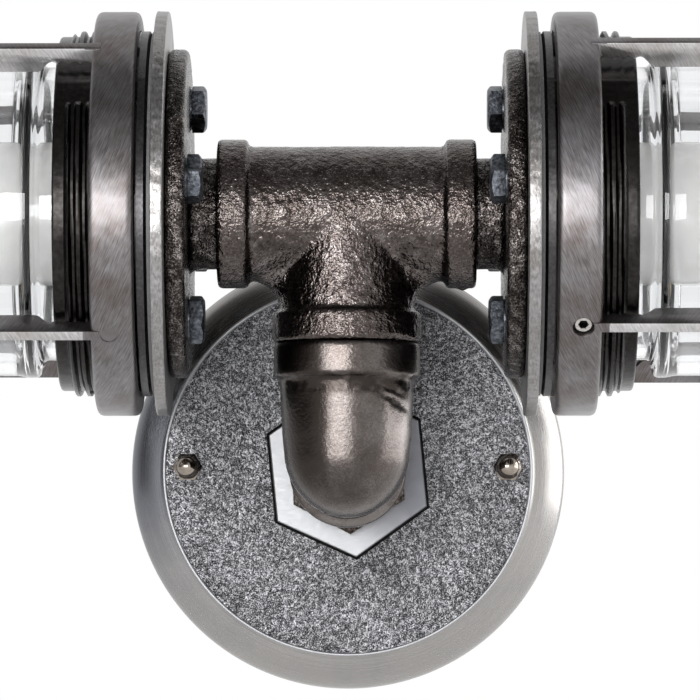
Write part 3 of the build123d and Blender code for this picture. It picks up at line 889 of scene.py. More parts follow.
@dataclass(frozen=True)
class CastFinish(Finish):
    """Cast metal: dark hollows, lighter high spots and a rough skin."""

    pit: Colour
    skin: Colour
    peak: Colour
    grain_size: float
    patch_size: float
    smooth: float
    rough: float
    tilt: float
    relief: float = 0.0
    contrast: float = 0.2
    wear: Colour = (0.72, 0.7, 0.68)
    wear_low: float = 0.35
    wear_high: float = 0.7
    coarse_share: float = 2.2

    def lay(self, graph: Graph, solid: Socket) -> None:
        """Adds the casting's nodes.

        Args:
            graph: The material's graph.
            solid: Coordinates in the piece.
        """
        patch = graph.noise(solid, self.patch_size, 3)
        height = graph.noise(solid, self.grain_size, 2)
        # The mesh's own number can carry painted shade and highlight, as on the elbow.
        if self.relief:
            height = graph.own_relief(self.relief, height)
        low, high = 0.5 - self.contrast, 0.5 + self.contrast
        tone = graph.ramp(height, (low, self.pit), (0.5, self.skin), (high, self.peak))
        wear_and_shade = graph.ramp(patch, (self.wear_low, self.wear), (self.wear_high, WHITE))
        roughness = graph.span(patch, self.smooth, self.rough)
        graph.put(Base_Color=graph.multiply(tone, wear_and_shade), Roughness=roughness, Metallic=1.0)
        depth = self.tilt * self.grain_size
        coarse = graph.noise(solid, self.grain_size * self.coarse_share, 0)
        graph.bump((coarse, depth), (graph.noise(solid, self.grain_size, 1), depth))


@dataclass(frozen=True)
class BrushedFinish(Finish):
    """Metal with fine lines along one direction and patches of wear, which also carry painted shade
    where the mesh keeps it.
    """

    low: Colour
    high: Colour
    line_length: float
    line_width: float
    smooth: float
    rough: float
    tilt: float
    space: Space = Space.SURFACE
    patch_size: float = 18.0
    patch: Colour = (0.75, 0.73, 0.7)
    lean: float = 0.5
    slant: float = 0.0
    relief: float = 0.0
    patch_low: float = 0.36
    patch_high: float = 0.62
    dent_share: float = 0.25
    dent_depth: float = 0.1
    grain_turn: float = 0.25

    def lay(self, graph: Graph, solid: Socket) -> None:
        """Adds the brushed metal's nodes.

        Args:
            graph: The material's graph.
            solid: Coordinates in the piece.
        """
        stretch = (1 / self.line_length, 1 / self.line_width, 1 / self.line_width)
        lines = graph.noise(graph.place(self.space, stretch, self.slant), 1.0, 2)
        patches = graph.noise(solid, self.patch_size, 4)
        # The mesh's own number can carry painted shade, as on the canopy and the boss.
        if self.relief:
            patches = graph.own_relief(self.relief, patches)
        tone = graph.ramp(lines, (NOISE_LOW, self.low), (NOISE_HIGH, self.high))
        wear_and_shade = graph.ramp(patches, (self.patch_low, self.patch), (self.patch_high, WHITE))
        roughness = graph.span(lines, self.smooth, self.rough)
        graph.put(
            Base_Color=graph.multiply(tone, wear_and_shade), Roughness=roughness, Metallic=1.0,
            Anisotropic=self.lean)
        if self.space is Space.SURFACE:
            grainway = graph.node("ShaderNodeTangent")
            grainway.direction_type = "UV_MAP"
            grainway.uv_map = "surface"
            graph.put(Tangent=grainway.outputs["Tangent"], Anisotropic_Rotation=self.grain_turn)
        dents = graph.noise(solid, self.patch_size * self.dent_share, 0)
        dent_depth = self.tilt * self.patch_size * self.dent_depth
        graph.bump((dents, dent_depth), (lines, self.tilt * self.line_width))


@dataclass(frozen=True)
class CoatFinish(Finish):
    """Glazed, moulded or painted skin."""

    low: Colour
    high: Colour
    grain_size: float
    smooth: float
    rough: float
    depth: float
    coat: float = 0.0
    bump_share: float = 0.5

    def lay(self, graph: Graph, solid: Socket) -> None:
        """Adds the coat's nodes.

        Args:
            graph: The material's graph.
            solid: Coordinates in the piece.
        """
        cloud = graph.noise(solid, self.grain_size, 4)
        tone = graph.ramp(cloud, (NOISE_LOW, self.low), (NOISE_HIGH, self.high))
        roughness = graph.span(cloud, self.smooth, self.rough)
        graph.put(Base_Color=tone, Roughness=roughness, Coat_Weight=self.coat)
        graph.bump((graph.noise(solid, self.grain_size * self.bump_share, 2), self.depth))


@dataclass(frozen=True)
class ClearFinish(Finish):
    """Clear blown or pressed glass with a slight wave in its skin."""

    tint: Colour
    wave_size: float
    depth: float
    index: float = 1.5
    smooth: float = 0.0
    rough: float = 0.02

    def lay(self, graph: Graph, solid: Socket) -> None:
        """Adds the glass's nodes.

        Args:
            graph: The material's graph.
            solid: Coordinates in the piece.
        """
        wave = graph.noise(solid, self.wave_size, 1)
        roughness = graph.span(wave, self.smooth, self.rough)
        graph.put(Base_Color=(*self.tint, 1), Roughness=roughness)
        graph.put(Transmission_Weight=1.0, IOR=self.index)
        graph.bump((wave, self.depth))


class Slot(Enum):
    """The record's material slots and the finish that each one gets."""

    malleable_iron = CastFinish(
        pit=(0.04, 0.0325, 0.03), skin=(0.088, 0.075, 0.071), peak=(0.2, 0.182, 0.178),
        grain_size=0.62, patch_size=14.0, smooth=0.1, rough=0.19, tilt=0.4, relief=0.4)
    # Its share of the mesh's number also carries the elbow's painted shade and highlight.
    elbow_iron = CastFinish(
        pit=(0.044, 0.037, 0.034), skin=(0.105, 0.092, 0.0875), peak=(0.2, 0.183, 0.177),
        grain_size=0.42, patch_size=11.0, smooth=0.2, rough=0.3, tilt=0.1, relief=0.62)
    bushing_iron = CastFinish(
        pit=(0.016, 0.0128, 0.0107), skin=(0.055, 0.0465, 0.041), peak=(0.16, 0.14, 0.126),
        grain_size=0.7, patch_size=8.0, smooth=0.2, rough=0.36, tilt=0.4)
    black_casting = CastFinish(
        pit=(0.008, 0.0066, 0.006), skin=(0.042, 0.036, 0.034), peak=(0.26, 0.237, 0.228),
        grain_size=0.48, patch_size=9.0, smooth=0.16, rough=0.3, tilt=0.55, relief=0.3,
        contrast=0.17)
    body_casting = CastFinish(
        pit=(0.018, 0.0166, 0.016), skin=(0.026, 0.0243, 0.0236), peak=(0.036, 0.034, 0.0332),
        grain_size=1.2, patch_size=24.0, smooth=0.24, rough=0.32, tilt=0.03)
    foot_casting = CastFinish(
        pit=(0.05, 0.0485, 0.051), skin=(0.07, 0.0685, 0.072), peak=(0.095, 0.0935, 0.098),
        grain_size=0.9, patch_size=24.0, smooth=0.3, rough=0.4, tilt=0.04)
    bolt_oxide = CastFinish(
        pit=(0.04, 0.046, 0.055), skin=(0.105, 0.115, 0.135), peak=(0.2, 0.215, 0.24),
        grain_size=1.0, patch_size=4.0, smooth=0.3, rough=0.5, tilt=0.12)
    plate_cast = CastFinish(
        pit=(0.013, 0.013, 0.0139), skin=(0.106, 0.106, 0.1118), peak=(0.43, 0.43, 0.45),
        grain_size=0.3, patch_size=24.0, smooth=0.32, rough=0.46, tilt=0.5, relief=0.2,
        contrast=0.12, wear=(0.5, 0.5, 0.5))
    # Near-black painted shade for the boss's flank and the set screw's socket.
    recess_cast = CastFinish(
        pit=(0.006, 0.006, 0.006), skin=(0.014, 0.014, 0.014), peak=(0.03, 0.03, 0.031),
        grain_size=0.6, patch_size=12.0, smooth=0.5, rough=0.7, tilt=0.2)
    guard_metal = BrushedFinish(
        low=(0.12, 0.112, 0.111), high=(0.25, 0.245, 0.256), line_length=4.5, line_width=0.34,
        smooth=0.3, rough=0.44, tilt=0.06, patch_size=14.0, patch=(0.66, 0.6, 0.57), lean=0.55,
        slant=0.4)
    # Lighter copy of the guard's metal, painted highlight on the ribs' lower faces.
    rib_metal = BrushedFinish(
        low=(0.36, 0.35, 0.352), high=(0.66, 0.65, 0.662), line_length=3.0, line_width=0.36,
        smooth=0.3, rough=0.42, tilt=0.1, lean=0.4, slant=0.5)
    raw_steel = BrushedFinish(
        low=(0.19, 0.184, 0.184), high=(0.35, 0.342, 0.343), line_length=1.2, line_width=0.6,
        smooth=0.28, rough=0.46, tilt=0.15)
    # Its bluish patches are painted shade, laid where the canopy's mesh keeps it.
    canopy_metal = BrushedFinish(
        low=(0.3, 0.289, 0.28), high=(0.322, 0.311, 0.302), line_length=60.0, line_width=0.5,
        smooth=0.22, rough=0.3, tilt=0.01, patch=(0.5, 0.53, 0.6), relief=0.75)
    boss_metal = BrushedFinish(
        low=(0.295, 0.298, 0.307), high=(0.322, 0.326, 0.335), line_length=2.0, line_width=0.4,
        smooth=0.44, rough=0.54, tilt=0.02, space=Space.SOLID, patch=(0.9, 0.9, 0.92), lean=0.0)
    # The boss face's patches follow the painted shade that its mesh keeps, darker toward its right.
    boss_face = BrushedFinish(
        low=(0.29, 0.293, 0.302), high=(0.318, 0.322, 0.332), line_length=2.0, line_width=0.4,
        smooth=0.44, rough=0.54, tilt=0.03, space=Space.SOLID, patch=(0.46, 0.46, 0.49),
        lean=0.0, relief=0.75)
    nickel = BrushedFinish(
        low=(0.24, 0.208, 0.18), high=(0.36, 0.318, 0.278), line_length=4.0, line_width=0.4,
        smooth=0.06, rough=0.14, tilt=0.01, space=Space.SOLID, patch_size=4.0)
    stainless = BrushedFinish(
        low=(0.42, 0.41, 0.4), high=(0.62, 0.6, 0.58), line_length=3.0, line_width=0.4,
        smooth=0.12, rough=0.24, tilt=0.01, space=Space.SOLID, patch_size=4.0)
    zinc_steel = BrushedFinish(
        low=(0.45, 0.46, 0.48), high=(0.66, 0.66, 0.66), line_length=12.0, line_width=0.6,
        smooth=0.25, rough=0.42, tilt=0.03, space=Space.SOLID)
    brass = BrushedFinish(
        low=(0.52, 0.36, 0.13), high=(0.78, 0.58, 0.26), line_length=6.0, line_width=0.4,
        smooth=0.18, rough=0.34, tilt=0.02, space=Space.SOLID, patch_size=5.0)
    filament_wire = BrushedFinish(
        low=(0.3, 0.29, 0.27), high=(0.5, 0.48, 0.45), line_length=1.0, line_width=0.3,
        smooth=0.2, rough=0.4, tilt=0.02, space=Space.SOLID, patch_size=3.0)
    gasket_rubber = CoatFinish(
        low=(0.022, 0.022, 0.022), high=(0.045, 0.044, 0.043), grain_size=1.2, smooth=0.34,
        rough=0.5, depth=0.03)
    grey_fibre = CoatFinish(
        low=(0.075, 0.073, 0.075), high=(0.12, 0.117, 0.12), grain_size=1.2, smooth=0.4,
        rough=0.55, depth=0.03)
    porcelain = CoatFinish(
        low=(0.78, 0.77, 0.74), high=(0.86, 0.85, 0.83), grain_size=6.0, smooth=0.1, rough=0.22,
        depth=0.02, coat=0.4)
    black_glass = CoatFinish(
        low=(0.008, 0.008, 0.01), high=(0.02, 0.02, 0.024), grain_size=3.0, smooth=0.06,
        rough=0.2, depth=0.01, coat=0.5)
    ground_green = CoatFinish(
        low=(0.02, 0.16, 0.05), high=(0.04, 0.28, 0.09), grain_size=2.5, smooth=0.25,
        rough=0.45, depth=0.01, coat=0.3)
    clear_glass = ClearFinish(
        tint=(0.925, 0.932, 0.94), wave_size=26.0, depth=0.04)
    bulb_clear = ClearFinish(
        tint=(0.985, 0.99, 0.99), wave_size=30.0, depth=0.01, index=1.46)

    @property
    def material(self) -> Material:
        """The slot's material, laid out the first time it is asked for."""
        name = f"{self.name}_finish"
        return bpy.data.materials.get(name) or self.value.build(name)


def dress(piece: Piece, slot: Slot, body: str, *nodes: str) -> Piece:
    """Paints a finished piece and hands it over to its body.

    Args:
        piece: The new object, at the origin.
        slot: Its finish.
        body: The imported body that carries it.
        nodes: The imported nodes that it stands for.

    Returns:
        The same object.
    """
    if not piece.data.materials:
        piece.data.materials.append(slot.material)
    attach(piece, body)
    if nodes:
        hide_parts(*nodes)
    log.info("%s: %d faces on %s", piece.name, len(piece.data.polygons), body)
    return piece


def two_finishes(piece: Piece, first: Slot, second: Slot, chosen: Callable[[Face], bool]) -> None:
    """Gives some faces of a piece a second finish.

    Args:
        piece: The piece.
        first: Finish of the other faces.
        second: Finish of the chosen faces.
        chosen: Says which faces are chosen.
    """
    piece.data.materials.clear()
    for slot in (first, second):
        piece.data.materials.append(slot.material)
    for face in piece.data.polygons:
        face.material_index = int(chosen(face))


def paint_nodes(finishes: dict[str, Slot], before: str = "") -> None:
    """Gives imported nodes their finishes.

    Args:
        finishes: Finish of each node, by name.
        before: What comes before every name.
    """
    for name, slot in finishes.items():
        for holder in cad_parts[before + name].material_slots:
            holder.material = slot.material
        log.info("%s%s: painted %s", before, name, slot.name)


# Centre of the light


@dataclass
class PipeFittings:
    """Tee and elbow with their cast skin."""

    body: str = "fixture"
    tee_voxel: float = 0.6
    tee_passes: int = 4
    tee_seed: int = 11
    elbow_voxel: float = 0.55
    elbow_passes: int = 5
    elbow_seed: int = 23
    band_start: float = 25.0
    band_radius: float = 19.2
    branch_end: float = LAMP_Z - 33.3
    branch_band: float = 8.3
    skin_coarse: float = 2.4
    skin_fine: float = 1.3
    skin_depth: float = 0.13
    skin_wide: float = 0.6
    band_skin: float = 0.3
    ledge_skin: float = 1.2
    elbow_skin: float = 0.16
    bevels: tuple[Triple, ...] = ((-50.0, 0.0, 1.1), (8.0, 82.0, 1.7))
    bevel_lean: float = 0.7
    gouges: tuple[tuple[float, float, float, float], ...] = (
        (6.0, 20.6, 36.0, 18.2),
        (20.0, 20.8, 62.0, 17.2),
        (26.0, 18.4, 66.0, 15.0),
        (40.0, 16.4, 70.0, 14.0),
    )
    gouge_width: float = 1.0
    gouge_depth: float = 0.26
    elbow_radius: float = 17.0
    heel_taper: float = 0.09
    heel_top: float = 8.0
    heel_height: float = 22.0
    heel_back: float = LAMP_Y + 8.0
    heel_depth: float = 10.0
    ledge: tuple[float, float] = (18.5, 23.0)
    nub_place: Triple = (29.8, LAMP_Y - 0.6, LAMP_Z - 19.2)
    nub_reach: float = 1.1
    nub_depth: float = 0.7
    # Shares of painted shade on the left, painted highlight on the right, painted shade below the
    # band, darkening in the middle and painted highlight on the heel
    soot: tuple[float, ...] = (0.4, -0.16, 0.45, 0.14, -0.24)
    soot_edge: float = 14.0
    soot_ragged: float = 4.0
    soot_grain: float = 5.0
    soot_seed: int = 27
    left_fade: float = 10.0
    left_foot: float = -8.0
    left_rise: float = 10.0
    right_fade: float = 16.0
    ledge_ragged: float = 0.15
    middle_height: float = -2.0
    middle_reach: float = 7.0
    heel_start: float = -9.0
    heel_fade: float = 5.0

    def hammer(self, piece: Piece, strength: Shares, seed: int, soot: Shares | None = None) -> None:
        """Raises and sinks a cast piece's skin and remembers how far, with any painted shade and
        highlight mixed in.

        Args:
            piece: The piece, with an even mesh.
            strength: Gives each point its share of the skin's depth.
            seed: Picks the pattern.
            soot: Gives each point how much darker its skin is painted as shade, negative where it
                is painted lighter as a highlight.
        """
        mesh = piece.data
        points = mesh_points(mesh)
        coarse = grain(points, self.skin_coarse, seed)
        fine = grain(points, self.skin_fine, seed + 1)
        wide = grain(points, 4 * self.skin_coarse, seed + 2)
        height = 0.5 * coarse + 0.5 * fine
        rise = self.skin_depth * (height + self.skin_wide * wide) * strength(points)
        set_points(mesh, points + mesh_normals(mesh) * rise[:, None])
        dark = soot(points) if soot else 0.0
        remember(mesh, 0.5 + 0.5 * height * strength(points) - dark)
        shade(mesh, CAST_SHARP)

    def bevel(self, points: np.ndarray) -> np.ndarray:
        """Eases the branch band's lower edge back in two uneven places.

        Args:
            points: Places, one row each.

        Returns:
            The moved places.
        """
        across = points - np.array([0, LAMP_Y, 0])
        radius = np.hypot(across[:, 0], across[:, 1])
        angle = np.degrees(np.arctan2(across[:, 0], -across[:, 1]))
        height = np.zeros(len(points))
        for first, last, most in self.bevels:
            share = np.clip((angle - first) / (last - first), 0, 1)
            height = np.maximum(height, most * np.sin(math.pi * share))
        below = np.clip(self.branch_end + height - points[:, 2], 0, None)
        allowed = self.band_radius - self.bevel_lean * below
        shrink = np.where((below > 0) & (radius > allowed), allowed / radius, 1.0)
        moved = points.copy()
        moved[:, 0] *= shrink
        moved[:, 1] = LAMP_Y + across[:, 1] * shrink
        return moved

    def tee_strength(self, points: np.ndarray) -> np.ndarray:
        """Full skin on the tee's body, less on its bands.

        Args:
            points: Places, one row each.

        Returns:
            Share of the skin's depth at each place.
        """
        on_run = np.abs(points[:, 0]) > self.band_start
        on_branch = points[:, 2] < self.branch_end + self.branch_band
        return np.where(on_run | on_branch, self.band_skin, 1.0)

    def build_tee(self) -> None:
        """Tee with a hammered skin and a small casting nub under one band."""
        tee = cast_copy("pipe_tee", "tee", self.tee_voxel, self.tee_passes)
        points = mesh_points(tee.data)
        away = np.linalg.norm(points - np.array(self.nub_place), axis=1)
        down = np.exp(-(away / self.nub_reach) ** 2)
        points[:, 2] -= self.nub_depth * down
        set_points(tee.data, self.bevel(points))
        self.hammer(tee, self.tee_strength, self.tee_seed)
        dress(tee, Slot.malleable_iron, self.body, "pipe_tee")

    def gouge(self, points: np.ndarray) -> np.ndarray:
        """How deep the slanted tool marks below the elbow's band cut.

        Args:
            points: Places, one row each.

        Returns:
            The depth at each place.
        """
        across = points - np.array([0, LAMP_Y, 0])
        angle = np.degrees(np.arctan2(across[:, 0], -across[:, 1]))
        place = np.stack([np.radians(angle) * self.elbow_radius, points[:, 2]], axis=-1)
        depth = np.zeros(len(points))
        for first, high, last, low in self.gouges:
            start = np.array([math.radians(first) * self.elbow_radius, high])
            end = np.array([math.radians(last) * self.elbow_radius, low])
            way = end - start
            share = np.clip((place - start) @ way / (way @ way), 0, 1)
            away = np.linalg.norm(place - start - share[:, None] * way, axis=1)
            swell = np.sin(math.pi * np.clip(share, 0.02, 0.98)) ** 0.5
            cut = self.gouge_depth * swell * np.exp(-(away / self.gouge_width) ** 2)
            depth = np.maximum(depth, cut)
        return depth

    def elbow_strength(self, points: np.ndarray) -> np.ndarray:
        """A quiet skin, rougher just below the elbow's band.

        Args:
            points: Places, one row each.

        Returns:
            Share of the skin's depth at each place.
        """
        low, high = self.ledge
        on_ledge = (points[:, 2] > low) & (points[:, 2] < high)
        return np.where(on_ledge, self.ledge_skin, self.elbow_skin)

    def elbow_soot(self, points: np.ndarray) -> np.ndarray:
        """Painted shade and highlight: how much darker the elbow's skin is painted than its plain
        iron.

        Args:
            points: Places, one row each.

        Returns:
            The painted darkness at each place, negative where the skin is painted lighter as a
            highlight.
        """
        low, high = self.ledge
        ledge, half = 0.5 * (low + high), 0.5 * (high - low)
        height = points[:, 2]
        angle = np.degrees(np.arctan2(points[:, 0], LAMP_Y - points[:, 1]))
        ragged = self.soot_ragged * grain(points, self.soot_grain, self.soot_seed)
        left = np.clip((-self.soot_edge - angle + ragged) / self.left_fade, 0, 1)
        left *= np.clip((height - self.left_foot) / self.left_rise, 0, 1)
        right = np.clip((angle - self.soot_edge + ragged) / self.right_fade, 0, 1)
        below = np.exp(-((height + self.ledge_ragged * ragged - ledge) / half) ** 4)
        middle = np.exp(-((height - self.middle_height) / self.middle_reach) ** 2)
        heel = np.clip((self.heel_start - height) / self.heel_fade, 0, 1)
        parts = (left, right, below, middle, heel)
        return sum(share * part for share, part in zip(self.soot, parts))

    def build_elbow(self) -> None:
        """Elbow with a smoother skin than the tee's and tool marks below its band."""
        elbow = cast_copy("reducing_elbow", "elbow", self.elbow_voxel, self.elbow_passes)
        points = mesh_points(elbow.data)
        points = points - mesh_normals(elbow.data) * self.gouge(points)[:, None]
        front = np.clip((self.heel_back - points[:, 1]) / self.heel_depth, 0, 1)
        below = np.clip((self.heel_top - points[:, 2]) / self.heel_height, 0, 1)
        points[:, 0] *= 1 - self.heel_taper * front * below
        set_points(elbow.data, points)
        # The elbow's skin is painted darker as shade on its left and below its band, darker in its
        # middle, and lighter as highlight on its right and heel.
        self.hammer(elbow, self.elbow_strength, self.elbow_seed, self.elbow_soot)
        dress(elbow, Slot.elbow_iron, self.body, "reducing_elbow")

    def build(self) -> None:
        """Makes and dresses both fittings."""
        self.build_tee()
        self.build_elbow()
        paint_nodes({"branch_nipple": Slot.malleable_iron})


def hexagon(across_flats: float, points: int, turn: float) -> tuple[np.ndarray, np.ndarray]:
    """Angles and radii round a hexagon.

    Args:
        across_flats: Distance between two opposite sides.
        points: How many points go round, a multiple of six.
        turn: Angle of a corner, in radians.

    Returns:
        The angles and the radii.
    """
    angle = turn + np.linspace(0, FULL_TURN, points, endpoint=False)
    sixth = FULL_TURN / 6
    inside = np.mod(angle - turn, sixth) - sixth / 2
    return angle, across_flats / 2 / np.cos(inside)


@dataclass
class WallSide:
    """Canopy, face plate and what holds them to the wall."""

    body: str = "fixture"
    canopy_radius: float = 57.7
    canopy_depth: float = 13.5
    canopy_wall: float = 1.5
    canopy_flat: float = 49.4
    canopy_step: float = 0.4
    # Painted shade: how far the canopy's left and the boss's right are painted darker.
    tarnish_lift: float = 6.0
    tarnish_arc: float = 0.6
    tarnish_clean: float = 0.66
    tarnish_depth: float = 0.4
    boss_clean: float = 0.68
    canopy_lean: float = math.radians(41.0)
    canopy_skirt: float = 4.0
    canopy_hole: float = 10.95
    plate_radius: float = 49.0
    plate_thickness: float = 2.2
    rim_width: float = 0.8
    rim_height: float = 0.5
    pipe_hole: float = 10.75
    stipple_size: float = 0.62
    stipple_depth: float = 0.17
    stipple_fine: float = 0.62
    stipple_seed: int = 5
    stipple_tone: float = 0.75
    stipple_step: float = 0.41
    stipple_steps: int = 720
    hex_steps: int = 96
    nut_steps: int = 48
    boss_flats: float = 40.5
    boss_height: float = 2.0
    boss_draft: float = 0.43
    boss_turn: float = math.radians(35.7)
    foot_width: float = 0.3
    bushing_flats: float = 29.3
    bushing_thickness: float = 6.8
    bushing_turn: float = math.radians(32.5)
    bushing_edge: float = 0.8
    bushing_slope: float = 0.6
    nut_flats: float = 6.8
    nut_hex: float = 3.2
    nut_neck: float = 1.2
    nut_dome: float = 2.8
    nut_slope: float = 0.58
    stud_spacing: float = 84.8
    stud_rise: float = 1.0
    stud_radius: float = 2.2

    @property
    def plate_front(self) -> float:
        """How far the plate's stippled face stands in front of the wall."""
        return self.canopy_depth + self.plate_thickness

    def turned(self, name: str, grid: Turned, sharp: float = SHARP) -> Piece:
        """Object made of a turned grid on the wall pipe's axis."""
        return add(name, grid.mesh(name, wall_points, sharp))

    def build_canopy(self) -> None:
        """Spun pan with a rolled rim, open to the wall."""
        lean, depth, wall = math.sin(self.canopy_lean), self.canopy_depth, self.canopy_wall
        turn = np.linspace(self.canopy_lean, QUARTER_TURN, 25)
        width = (self.canopy_radius - self.canopy_flat) / (1 - lean)
        middle = self.canopy_radius - width
        high = (depth - self.canopy_step - self.canopy_skirt) / math.cos(self.canopy_lean)

        def cove(inset: float, turns: np.ndarray) -> list[Corner]:
            """Line of the rim, set in from its outside."""
            tall, wide, skirt = high - inset, width - inset, self.canopy_skirt
            return [(skirt + tall * math.cos(a), middle + wide * math.sin(a)) for a in turns]

        inside = cove(wall, turn[::-1])
        corners = [
            (depth, self.canopy_hole),
            (depth, self.canopy_flat - 0.3, 0.15),
            *cove(0.0, turn),
            (0.0, self.canopy_radius, 0.3),
            (0.0, self.canopy_radius - wall, 0.3),
            *inside,
            (depth - wall, inside[-1][1] - 0.6),
            (depth - wall, self.canopy_hole),
        ]
        pan = self.turned("canopy_pan", Turned.from_outline(outline(corners, 2.0), SEGMENTS))
        points = mesh_points(pan.data)
        # Painted shade: the pan is painted darker toward its left, standing in for the darker
        # reflection there.
        from_left = np.arctan2(points[:, 2] - self.tarnish_lift, -points[:, 0])
        painted_shade = self.tarnish_depth * np.exp(-(from_left / self.tarnish_arc) ** 2)
        remember(pan.data, self.tarnish_clean - painted_shade)
        dress(pan, Slot.canopy_metal, self.body, "canopy")

    def build_field(self) -> None:
        """Stippled field of the cast plate."""
        back, front = self.canopy_depth, self.plate_front
        edge = self.plate_radius - self.rim_width + 0.2
        corners = [(back, self.pipe_hole), (front, self.pipe_hole), (front, edge), (back, edge)]
        grid = Turned.from_outline(outline(corners, self.stipple_step), self.stipple_steps)
        share = np.clip((edge - 0.1 - grid.radius) / 0.3, 0, 1) * (grid.along > front - 0.01)
        fine = self.stipple_fine * self.stipple_size
        height = grid.skin(wall_points, self.stipple_size, fine, self.stipple_seed)
        grid.along = grid.along + self.stipple_depth * height * share
        plate = self.turned("stippled_plate", grid, ROUGH_SHARP)
        remember(plate.data, (0.5 + self.stipple_tone * height).ravel())
        dress(plate, Slot.plate_cast, self.body, "face_plate")

    def build_rim(self) -> None:
        """Bright rim of the cast plate."""
        inner = self.plate_radius - self.rim_width
        crown = self.plate_front + self.rim_height
        edge = [
            (self.canopy_depth, inner),
            (crown - 0.2, inner),
            (crown, inner + 0.25, 0.2),
            (crown, self.plate_radius, 0.35),
            (self.canopy_depth, self.plate_radius),
        ]
        rim = self.turned("plate_rim", Turned.from_outline(outline(edge, 0.6), SEGMENTS))
        dress(rim, Slot.boss_metal, self.body, "face_plate")

    def build_boss(self) -> None:
        """Drafted hexagonal boss of the cast plate, painted darker toward its right, with a dark
        sheet over its flank: both painted shade.
        """
        turn, base = hexagon(self.boss_flats, self.hex_steps, self.boss_turn)
        top = base * (1 - 2 * self.boss_draft / self.boss_flats)
        soft = base * (1 - 2 * (self.boss_draft + 0.25) / self.boss_flats)
        front, tall = self.plate_front, self.plate_front + self.boss_height
        levels = [
            (front - 1.0, self.pipe_hole),
            (front - 1.0, base),
            (front, base),
            (tall - 0.25, top),
            (tall, soft),
            (tall, self.pipe_hole),
        ]
        boss = self.turned("plate_boss", Turned.from_levels(turn, levels), HEX_SHARP)
        # Painted shade: the boss's face is painted darker toward its right.
        right = np.clip(mesh_points(boss.data)[:, 0] / self.boss_flats * 2, 0, 1)
        remember(boss.data, self.boss_clean - self.tarnish_depth * right)
        dress(boss, Slot.boss_face, self.body, "face_plate")
        # Painted shade: a near-black sheet over the boss's flank and round its base.
        levels = [
            (front - 0.6, base + self.foot_width),
            (front + 0.12, base + self.foot_width),
            (front + 0.3, base + 0.12),
            (tall - 0.3, top + 0.06),
            (tall - 0.3, top - 0.4),
            (front - 0.6, base - 0.4),
        ]
        shade_foot = self.turned("boss_foot", Turned.from_levels(turn, levels), HEX_SHARP)
        dress(shade_foot, Slot.recess_cast, self.body, "face_plate")

    def build_bushing(self) -> None:
        """Hexagon bushing between the boss and the elbow."""
        back = self.plate_front + self.boss_height
        front = back + self.bushing_thickness
        turn, flats = hexagon(self.bushing_flats, self.hex_steps, self.bushing_turn)
        corner_cut = np.clip(flats - self.bushing_flats / 2 * 1.02, 0, None) * self.bushing_slope
        bore = self.pipe_hole + 0.05
        levels = [
            (back, bore),
            (back, flats),
            (front - self.bushing_edge * 0.5 - corner_cut, flats),
            (front, self.bushing_flats / 2 * 0.97),
            (front, bore),
        ]
        bushing = self.turned("bushing", Turned.from_levels(turn, levels), HEX_SHARP)
        dress(bushing, Slot.bushing_iron, self.body, "hex_bushing")

    def nut_pattern(self) -> Piece:
        """One dome nut at the origin, facing -Y.

        Returns:
            The pattern.
        """
        turn, flats = hexagon(self.nut_flats, self.nut_steps, 0.0)
        corner_cut = np.clip(flats - self.nut_flats / 2, 0, None) * self.nut_slope
        tall, dome = self.nut_hex, self.nut_dome
        levels = [
            (0.0, self.stud_radius),
            (0.0, flats * 0.97),
            (0.25, flats),
            (tall - 0.7 - corner_cut, flats),
            (tall - 0.6, self.nut_flats / 2 * 0.96),
            (tall + 0.05, dome + 0.1),
            (tall + 0.3, dome),
        ]
        neck = tall + self.nut_neck
        for rise in np.linspace(0, QUARTER_TURN, 10):
            levels.append((neck + dome * math.sin(rise), max(dome * math.cos(rise), 0.0)))
        rings = Turned.from_levels(turn, levels).rings(wall_points)
        return add("nut_pattern", rings_mesh("nut_pattern", rings, HEX_SHARP))

    def build_nuts(self) -> None:
        """Two dome nuts on the studs."""
        slot = Slot.nickel
        first = Vector((-self.stud_spacing / 2, -self.plate_front, self.stud_rise)) * MM
        step = (self.stud_spacing * MM, 0, 0)
        nuts = Copies("dome_nuts", self.nut_pattern(), slot.material, 2, first, step).build()
        dress(nuts, slot, self.body, "cap_nuts")

    def build(self) -> None:
        """Makes and dresses everything at the wall."""
        self.build_canopy()
        self.build_field()
        self.build_rim()
        self.build_boss()
        self.build_bushing()
        self.build_nuts()
        paint_nodes({
            "wall_nipple": Slot.bushing_iron,
            "back_locknut": Slot.zinc_steel,
            "crossbar": Slot.zinc_steel,
            "canopy_studs": Slot.zinc_steel,
            "ground_screw": Slot.ground_green,
        })


# Lamps


